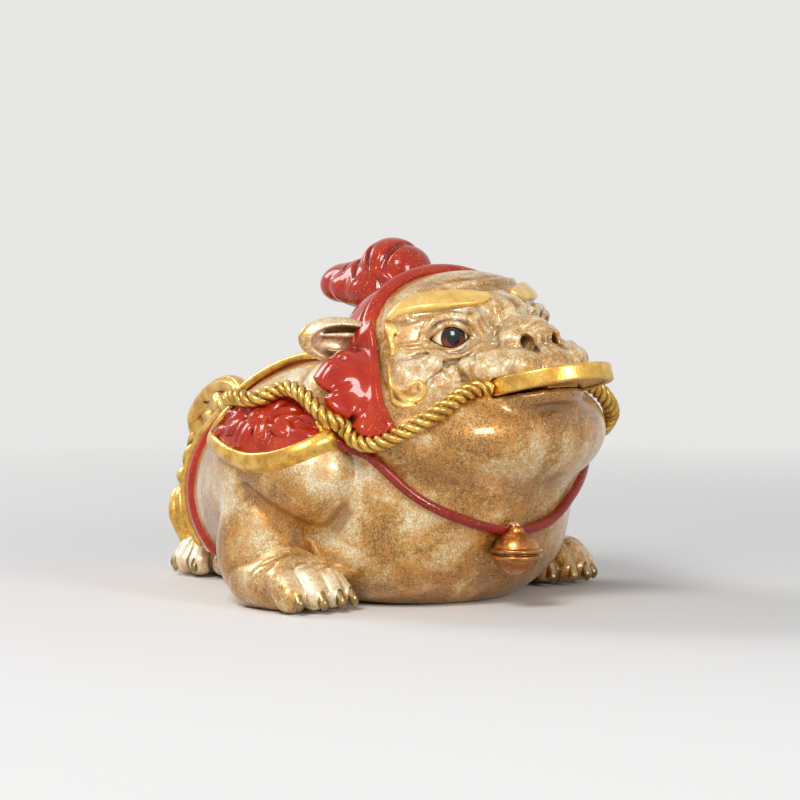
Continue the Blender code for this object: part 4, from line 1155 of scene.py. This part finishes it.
def make_rope(context):
    """The twisted gilt rope from one corner of the mouth round the rump to the other."""
    sizes = context.scene.toad_sizes
    radius = sizes.rope_radius / MM
    right = [(-x, y, z) for x, y, z in ROPE]
    path = smooth_path(right + [(0, 61, 51.5)] + list(ROPE)[::-1], 6)
    line, out = on_surface(dressed, path, radius * 0.75)
    slack = np.clip(1 - np.abs(line[:, 1] + 46) / 12, 0, 1) * (line[:, 0] > 0)
    line = line + 1.6 * slack[:, None] * out
    taut = 0.6 * np.clip((path[:, 1] - 8) / 8, 0, 1) * np.clip((48 - path[:, 1]) / 8, 0, 1)
    line = line + taut[:, None] * (path - line)
    for _ in range(3):
        line[1:-1] = line[1:-1] * 0.5 + (line[:-2] + line[2:]) * 0.25
    grown("rope", line, sizes.rope_radius, 0.34, sizes.rope_pitch, 0.0005, 3)


def make_bow(context):
    """The gilt bow on the rump, its hanging cord, the bead and the tassel."""
    clay = Clay()
    clay.ball((0, 66, 47), (8, 9, 9), 1).ball((0, 74, 42), (4.5, 6, 6), 2)
    for points, radii in (
            (((0.5, 80, 40), (2.5, 78.5, 45.6), (4.5, 73, 50.5), (7, 65.5, 54.4), (9.5, 57.5, 56.6), (12, 50, 56.6),
              (14, 45, 54)), (2.2, 2.7, 2.7, 2.7, 2.6, 2.5, 2.3)),
            (((14.5, 45.5, 54), (14.5, 46, 51), (13.5, 49, 47.6), (11, 57, 45.8), (7, 66, 46.2), (4.5, 72, 48)),
             (2.2, 2.4, 2.4, 2.4, 2.2, 1.8)),
            (((4, 67, 47), (6.5, 65, 51.5), (9.5, 60.5, 52), (11, 57.5, 49.5), (8.5, 60.5, 46.5)),
             (2.0, 2.3, 2.3, 2.1, 1.6))):
        clay.strand(points, radii, 0.5)
    clay.ball((0, 77.5, 43.5), (4.4, 4.0, 4.8), 0.6)
    clay.ball((13, 47, 51.5), (4.2, 5.0, 5.6), 0.8).ball((9, 56, 50), (3.4, 9, 4.4), 0.8)
    for points, radii in (
            (((15.8, 46, 56.2), (12.5, 54, 58.4), (8.5, 64, 56.6), (5.4, 73, 52.4)), (0.3, 0.6, 0.6, 0.3)),
            (((17.4, 46.5, 52), (15.0, 51.5, 51.0), (12.4, 54.5, 51.4)), (0.4, 0.8, 0.4)),
            (((16.6, 50.5, 47.0), (13.2, 58.5, 44.4), (8.6, 67, 45.0)), (0.3, 0.5, 0.3)),
            (((12.0, 60.0, 53.4), (13.0, 56.6, 49.8), (10.6, 60.6, 45.8)), (0.4, 0.6, 0.4)),
            (((5.5, 71, 46.5), (6.5, 68, 50), (5.5, 70, 53)), (0.4, 0.7, 0.4))):
        clay.stroke(points, radii, 0.5, "cut")
    cast_piece("rump_bow", clay, (-24, 38, 28), (24, 88, 64), 0.42, "gilt", reach=1.3)
    cord = smooth_path([(-0.5, 77, 43), (-1.6, 79.4, 39), (-2.8, 80.4, 34), (-3.4, 80.2, 30)], 6)
    grown("tassel_cord", cord, 0.0026, 0.36, 0.011, 0.0004, 2)
    bead = np.float32((-3.4, 80.0, 28.6))
    tassel = Clay(tuple(bead), mirror=False)
    tassel.ball((0, 0, 0), (4.4, 4.1, 3.6), 0.5).ball((0, -3.5, -2.0), (3.0, 4.0, 3.0), 1)
    length, wide = context.scene.toad_sizes.tassel_length / MM, context.scene.toad_sizes.tassel_radius / MM
    tassel.ball((0, -1.5, -length * 0.52), (wide * 0.86, 4.4, length * 0.46), 0.6)
    for i in range(10):
        turn = 2 * math.pi * i / 10
        x, y = math.sin(turn), math.cos(turn)
        swirl = 0.5 if i % 2 else -0.3
        tassel.strand(((x * 1.4, y * 1.3, -2.4), (x * wide * 0.8, y * 3.3, -length * 0.3),
                       (x * wide + swirl, y * 4.0 - 1.0, -length * 0.6), (x * wide * 0.7, y * 2.6 - 2.0, -length)),
                      (1.0, 1.7, 1.9, 1.1), 0.3)
    low, high = bead - (13, 11, 24), bead + (13, 11, 8)
    cast_piece("tassel", tassel, low, high, 0.4, "gilt", reach=1.2)


def make_collar(context):
    """The red collar cord under the throat and the bronze bell on it."""
    sizes = context.scene.toad_sizes
    right = [(-46, -27, 46.4), (-45, -33, 42), (-42, -38.5, 36.5), (-34, -44.5, 30), (-24, -48.5, 25.4),
             (-14, -50, 22.4), (-4, -51, 20.6)]
    left = [(6, -50.6, 21.4), (14, -49.4, 24.0), (22, -47.5, 29), (32, -44.5, 34), (40, -38, 40), (45, -30, 45)]
    line, out = on_surface(BODY.at, smooth_path(right + left, 6), 0.7)
    tube_piece("collar", [line], sizes.collar_radius / MM, 14, "cord")
    ring, _ = on_surface(BODY.at, [(-5.6, -51, 21.6)], 1.6)
    hanger = ring[0]
    radius = sizes.bell_radius / MM
    middle = np.float32((-6.5, -54.6, 21.6 - radius))
    bell = Clay(tuple(middle), mirror=False)
    bell.ball((0, 0, 0), (radius, radius, radius * 0.96), 0)

    def girth(height):
        """A round band along the bell's wall at this height."""
        away = math.sqrt(radius ** 2 - height ** 2) + 0.15
        return lambda q: np.sqrt((np.sqrt(q[0] ** 2 + q[1] ** 2) - away) ** 2 + (q[2] - height) ** 2) - 0.62

    for height in (0.75, -0.95):
        bell.touch(girth(height), (-radius - 1, -radius - 1, -2), (radius + 1, radius + 1, 2), 0.25)
    bell.ball((0, 0, radius * 0.98), (1.9, 1.9, 1.2), 0.8)
    slot = lambda q: np.maximum(np.abs(q[0] * 0.92 + q[1] * 0.39) - 0.55,
                                np.maximum(q[2] + 1.8, 3.9 - np.sqrt((q ** 2).sum(0))))
    bell.touch(slot, (-radius, -radius, -radius - 1), (radius, radius, 0), 0.3, "cut")
    bell.ball((0, 0, 0), (radius - 1.1,) * 3, 0.2, None, "cut")
    cast_piece("bell", bell, middle - radius - 2, middle + radius + 3, 0.3, "bell", reach=1.0)
    loops = []
    for shift in (-0.75, 0.75):
        loops.append([(hanger[0] + shift + 0.2 * math.cos(a), hanger[1] - 0.8 + 1.9 * math.cos(a),
                       hanger[2] - 1.2 + 2.9 * math.sin(a)) for a in np.linspace(0, 2 * math.pi, 25)[:-1]])
    tube_piece("bell_loop", loops, 0.55, 10, "loop", closed=True)


def make_coin(context):
    """The round coin with its square hole and raised rims, held in the mouth."""
    sizes = context.scene.toad_sizes
    middle, spin = coin_frame()
    radius, half = sizes.coin_radius / MM, sizes.coin_thickness / MM / 2
    hole = sizes.coin_hole / MM / 2

    def measure(points):
        v = spin @ (points - middle[:, None])
        away = np.sqrt(v[0] ** 2 + v[1] ** 2)
        square = np.maximum(np.abs(v[0]), np.abs(v[1]))
        body = -merged(-(away - radius), -(np.abs(v[2]) - half), 0.7)
        field = np.maximum(np.maximum(away - radius + 2.6, hole + 1.8 - square), half - 0.5 - np.abs(v[2]))
        body = -merged(-body, field, 0.4)
        return -merged(-body, square - hole, 0.5)

    cast_piece("mouth_coin", measure, middle - 20, middle + 20, 0.36, "coin", reach=1.0, replaces="coin")


# Stage, in metres

BACKDROP = (0.8, 0.795, 0.785, 1.0)
PAPER = (0.8, 0.79, 0.775, 1)
SKY = (0.9, 0.93, 1.0, 1)
FLOOR_FADE = (0.16, 0.6)
LAMP_AIM = (0, -0.01, 0.05)
LAMPS = (("key_softbox", (-0.75, -0.35, 0.75), 0.36, 7.2), ("fill_softbox", (-0.14, -0.91, 0.3), 0.22, 2.7),
         ("rim_softbox", (-0.2, 0.8, 0.6), 0.4, 4.0))
CAMERA_PLACE = (-0.7071, -0.70992, 0.112)
CAMERA_AIM = (0.00198, -0.0048, 0.054)
CAMERA_LENS = 160.7


def shown(tree):
    """Whether a ray comes from the camera, a gloss or a clear piece, and so shows the backdrop."""
    rays = add_node(tree, "ShaderNodeLightPath").outputs
    share = rays["Is Camera Ray"]
    for kind in ("Is Glossy Ray", "Is Transmission Ray"):
        share = add_node(tree, "ShaderNodeMath", {0: share, 1: rays[kind]}, operation="ADD", use_clamp=True).outputs[0]
    return share


def make_floor():
    """A pale floor that fades into the backdrop away from the toad."""
    bpy.ops.mesh.primitive_plane_add(size=6.0)
    floor = bpy.context.object
    floor.name = "floor"
    paint = Paint("pale_paper", 0.85)
    paper = paint.set(Base_Color=PAPER)
    away = paint.add("ShaderNodeVectorMath", {0: paint.place}, operation="LENGTH").outputs["Value"]
    share = paint.math("MULTIPLY", shown(paint.tree), paint.spread(away, *FLOOR_FADE))
    glow = paint.add("ShaderNodeEmission", {"Color": BACKDROP}).outputs[0]
    blend = paint.add("ShaderNodeMixShader", {0: share, 1: paint.shader.outputs[0], 2: glow}).outputs[0]
    feed(paint.tree, paint.end.inputs["Surface"], blend)
    floor.data.materials.append(paper)


def make_world():
    """A dim sky for the light and the pale backdrop for the eye."""
    world = bpy.data.worlds.new("studio")
    world.use_nodes = True
    tree = world.node_tree
    tree.nodes.clear()
    sky = add_node(tree, "ShaderNodeBackground", {"Color": SKY, "Strength": 0.24}).outputs[0]
    backdrop = add_node(tree, "ShaderNodeBackground", {"Color": BACKDROP}).outputs[0]
    pick = add_node(tree, "ShaderNodeMixShader", {0: shown(tree), 1: sky, 2: backdrop}).outputs[0]
    add_node(tree, "ShaderNodeOutputWorld", {"Surface": pick})
    bpy.context.scene.world = world


def aimed(name, data, place, aim):
    """A lamp or camera at a place, looking at the aim."""
    holder = bpy.data.objects.new(name, data)
    holder.location = place
    holder.rotation_euler = (Vector(aim) - Vector(place)).to_track_quat("-Z", "Y").to_euler()
    bpy.context.scene.collection.objects.link(holder)
    return holder


def make_stage(context):
    """Pale floor, soft lamps and the camera at the photograph's angle."""
    make_floor()
    make_world()
    for name, place, size, power in LAMPS:
        lamp = bpy.data.lights.new(name, "AREA")
        lamp.shape, lamp.size, lamp.energy = "SQUARE", size, power
        aimed(name, lamp, place, LAMP_AIM)
    camera = aimed("camera", bpy.data.cameras.new("camera"), CAMERA_PLACE, CAMERA_AIM)
    camera.data.sensor_width = 36.0
    camera.data.lens = CAMERA_LENS
    camera.data.clip_end = 20.0
    context.scene.camera = camera
    context.scene.view_settings.view_transform = "Standard"


# Add-on

def colour_property(name, description, value):
    return FloatVectorProperty(name=name, description=description, default=tuple(value) + (1.0,), size=4, min=0,
                               max=1, subtype="COLOR")


def length_property(name, description, value):
    return FloatProperty(name=name, description=description, default=value, min=0.0001, unit="LENGTH")


class ToadSizes(bpy.types.PropertyGroup):
    """Sizes of the dress and the coin."""
    eye_radius: length_property("Eye Radius", "Radius of an eyeball", 0.008)
    cloth_thickness: length_property("Cloth Thickness", "Half the thickness of the saddle cloth", 0.0011)
    flap_length: length_property("Flap Length", "Length of a saddle flap from point to point", 0.0474)
    flap_height: length_property("Flap Height", "Height of a saddle flap", 0.023)
    flap_rim: length_property("Flap Rim", "Half the width of the gilt rim round a flap", 0.0017)
    rope_radius: length_property("Rope Radius", "Radius of the twisted rope", 0.0024)
    rope_pitch: length_property("Rope Pitch", "Length of one turn of the rope's twist", 0.0086)
    tassel_length: length_property("Tassel Length", "Length of the tassel below its bead", 0.019)
    tassel_radius: length_property("Tassel Radius", "Half the width of the tassel", 0.006)
    collar_radius: length_property("Collar Radius", "Radius of the collar cord", 0.0014)
    bell_radius: length_property("Bell Radius", "Radius of the bell", 0.0063)
    coin_radius: length_property("Coin Radius", "Radius of the coin", 0.018)
    coin_thickness: length_property("Coin Thickness", "Thickness of the coin at its rim", 0.0046)
    coin_hole: length_property("Coin Hole", "Side of the square hole", 0.008)
    coin_tilt: FloatProperty(name="Coin Tilt", description="How far the coin's front is turned up",
                             default=math.radians(13.6), subtype="ANGLE")


class ToadColours(bpy.types.PropertyGroup):
    """Colours of the patina, the enamel and the gilding."""
    cream: colour_property("Cream", "Palest tone of the skin", (0.88, 0.76, 0.52))
    pearl: colour_property("Pearl", "Pale grey-gold of the skin", (0.70, 0.51, 0.25))
    ochre: colour_property("Ochre", "Middle tone of the skin", (0.56, 0.30, 0.068))
    brown: colour_property("Brown", "Deep tone of the skin", (0.35, 0.155, 0.026))
    umber: colour_property("Umber", "Darkest tone, also in the hollows of the gilding", (0.10, 0.042, 0.012))
    rust: colour_property("Rust", "Rusty patches of the skin", (0.66, 0.26, 0.03))
    # antique wash and painted shade in the creases
    wash: colour_property("Wash", "Antique wash in the creases", (0.13, 0.066, 0.028))
    red: colour_property("Red", "Main red of the enamel", (0.38, 0.012, 0.003))
    scarlet: colour_property("Scarlet", "Lighter red of the enamel", (0.50, 0.030, 0.004))
    # painted shade in the folds of the enamel
    oxblood: colour_property("Oxblood", "Dark red in the folds", (0.10, 0.004, 0.004))
    gold: colour_property("Gold", "Bright gold of the gilding", (0.95, 0.60, 0.13))
    old_gold: colour_property("Old Gold", "Worn gold of the gilding", (0.56, 0.28, 0.045))
    iris: colour_property("Iris", "Colour of the iris", (0.24, 0.03, 0.012))


class TOAD_OT_body(bpy.types.Operator):
    """Casts the toad's trunk with the folds of its skin"""
    bl_idname = "toad.body"
    bl_label = "Body"

    def execute(self, context):
        make_body(context)
        return {"FINISHED"}


class TOAD_OT_head(bpy.types.Operator):
    """Casts the face and the ears"""
    bl_idname = "toad.head"
    bl_label = "Head"

    def execute(self, context):
        make_head(context)
        return {"FINISHED"}


class TOAD_OT_feet(bpy.types.Operator):
    """Casts the front feet, the hind foot and the claws"""
    bl_idname = "toad.feet"
    bl_label = "Feet"

    def execute(self, context):
        make_feet(context)
        return {"FINISHED"}


class TOAD_OT_eyes(bpy.types.Operator):
    """Makes the lacquered eyeballs"""
    bl_idname = "toad.eyes"
    bl_label = "Eyes"

    def execute(self, context):
        make_eyes(context)
        return {"FINISHED"}


class TOAD_OT_face_gilding(bpy.types.Operator):
    """Lays the gilt brows and cheek curls on the face"""
    bl_idname = "toad.face_gilding"
    bl_label = "Face Gilding"

    def execute(self, context):
        make_face_gilding(context)
        return {"FINISHED"}


class TOAD_OT_hood(bpy.types.Operator):
    """Casts the red hood, its cape and the knot on the crown"""
    bl_idname = "toad.hood"
    bl_label = "Hood"

    def execute(self, context):
        make_hood(context)
        return {"FINISHED"}


class TOAD_OT_saddle(bpy.types.Operator):
    """Lays the saddle cloth and the flaps with their gilt edges"""
    bl_idname = "toad.saddle"
    bl_label = "Saddle"

    def execute(self, context):
        make_saddle(context)
        return {"FINISHED"}


class TOAD_OT_rope(bpy.types.Operator):
    """Grows the twisted gilt rope along its path"""
    bl_idname = "toad.rope"
    bl_label = "Rope"

    def execute(self, context):
        make_rope(context)
        return {"FINISHED"}


class TOAD_OT_bow(bpy.types.Operator):
    """Casts the gilt bow on the rump and its tassel"""
    bl_idname = "toad.bow"
    bl_label = "Bow"

    def execute(self, context):
        make_bow(context)
        return {"FINISHED"}


class TOAD_OT_collar(bpy.types.Operator):
    """Makes the collar cord and its bell"""
    bl_idname = "toad.collar"
    bl_label = "Collar"

    def execute(self, context):
        make_collar(context)
        return {"FINISHED"}


class TOAD_OT_coin(bpy.types.Operator):
    """Casts the coin that the toad holds in its mouth"""
    bl_idname = "toad.coin"
    bl_label = "Coin"

    def execute(self, context):
        make_coin(context)
        return {"FINISHED"}


class TOAD_OT_stage(bpy.types.Operator):
    """Sets the floor, the lamps and the camera"""
    bl_idname = "toad.stage"
    bl_label = "Stage"

    def execute(self, context):
        make_stage(context)
        return {"FINISHED"}


class TOAD_PT_parts(bpy.types.Panel):
    """The toad's pieces, sizes and colours"""
    bl_label = "Money Toad"
    bl_space_type = "VIEW_3D"
    bl_region_type = "UI"
    bl_category = "Toad"

    def draw(self, context):
        layout = self.layout
        for maker in MAKERS:
            layout.operator(maker.bl_idname)
        for group in (context.scene.toad_sizes, context.scene.toad_colours):
            for key in group.__annotations__:
                layout.prop(group, key)


MAKERS = (TOAD_OT_body, TOAD_OT_head, TOAD_OT_feet, TOAD_OT_eyes, TOAD_OT_face_gilding, TOAD_OT_hood,
          TOAD_OT_saddle, TOAD_OT_rope, TOAD_OT_bow, TOAD_OT_collar, TOAD_OT_coin, TOAD_OT_stage)
CLASSES = (ToadSizes, ToadColours) + MAKERS + (TOAD_PT_parts,)


def register():
    """Registers the classes and hangs the settings on the scene."""
    for item in CLASSES:
        bpy.utils.register_class(item)
    bpy.types.Scene.toad_sizes = PointerProperty(type=ToadSizes)
    bpy.types.Scene.toad_colours = PointerProperty(type=ToadColours)


def unregister():
    """Takes the settings and the classes away again."""
    del bpy.types.Scene.toad_sizes
    del bpy.types.Scene.toad_colours
    for item in reversed(CLASSES):
        bpy.utils.unregister_class(item)


def main():
    """Makes every piece and the stage."""
    register()
    make_paints()
    bpy.ops.toad.body()
    bpy.ops.toad.head()
    bpy.ops.toad.feet()
    bpy.ops.toad.eyes()
    bpy.ops.toad.face_gilding()
    bpy.ops.toad.hood()
    bpy.ops.toad.saddle()
    bpy.ops.toad.rope()
    bpy.ops.toad.bow()
    bpy.ops.toad.collar()
    bpy.ops.toad.coin()
    bpy.ops.toad.stage()


if __name__ == "__main__":
    main()
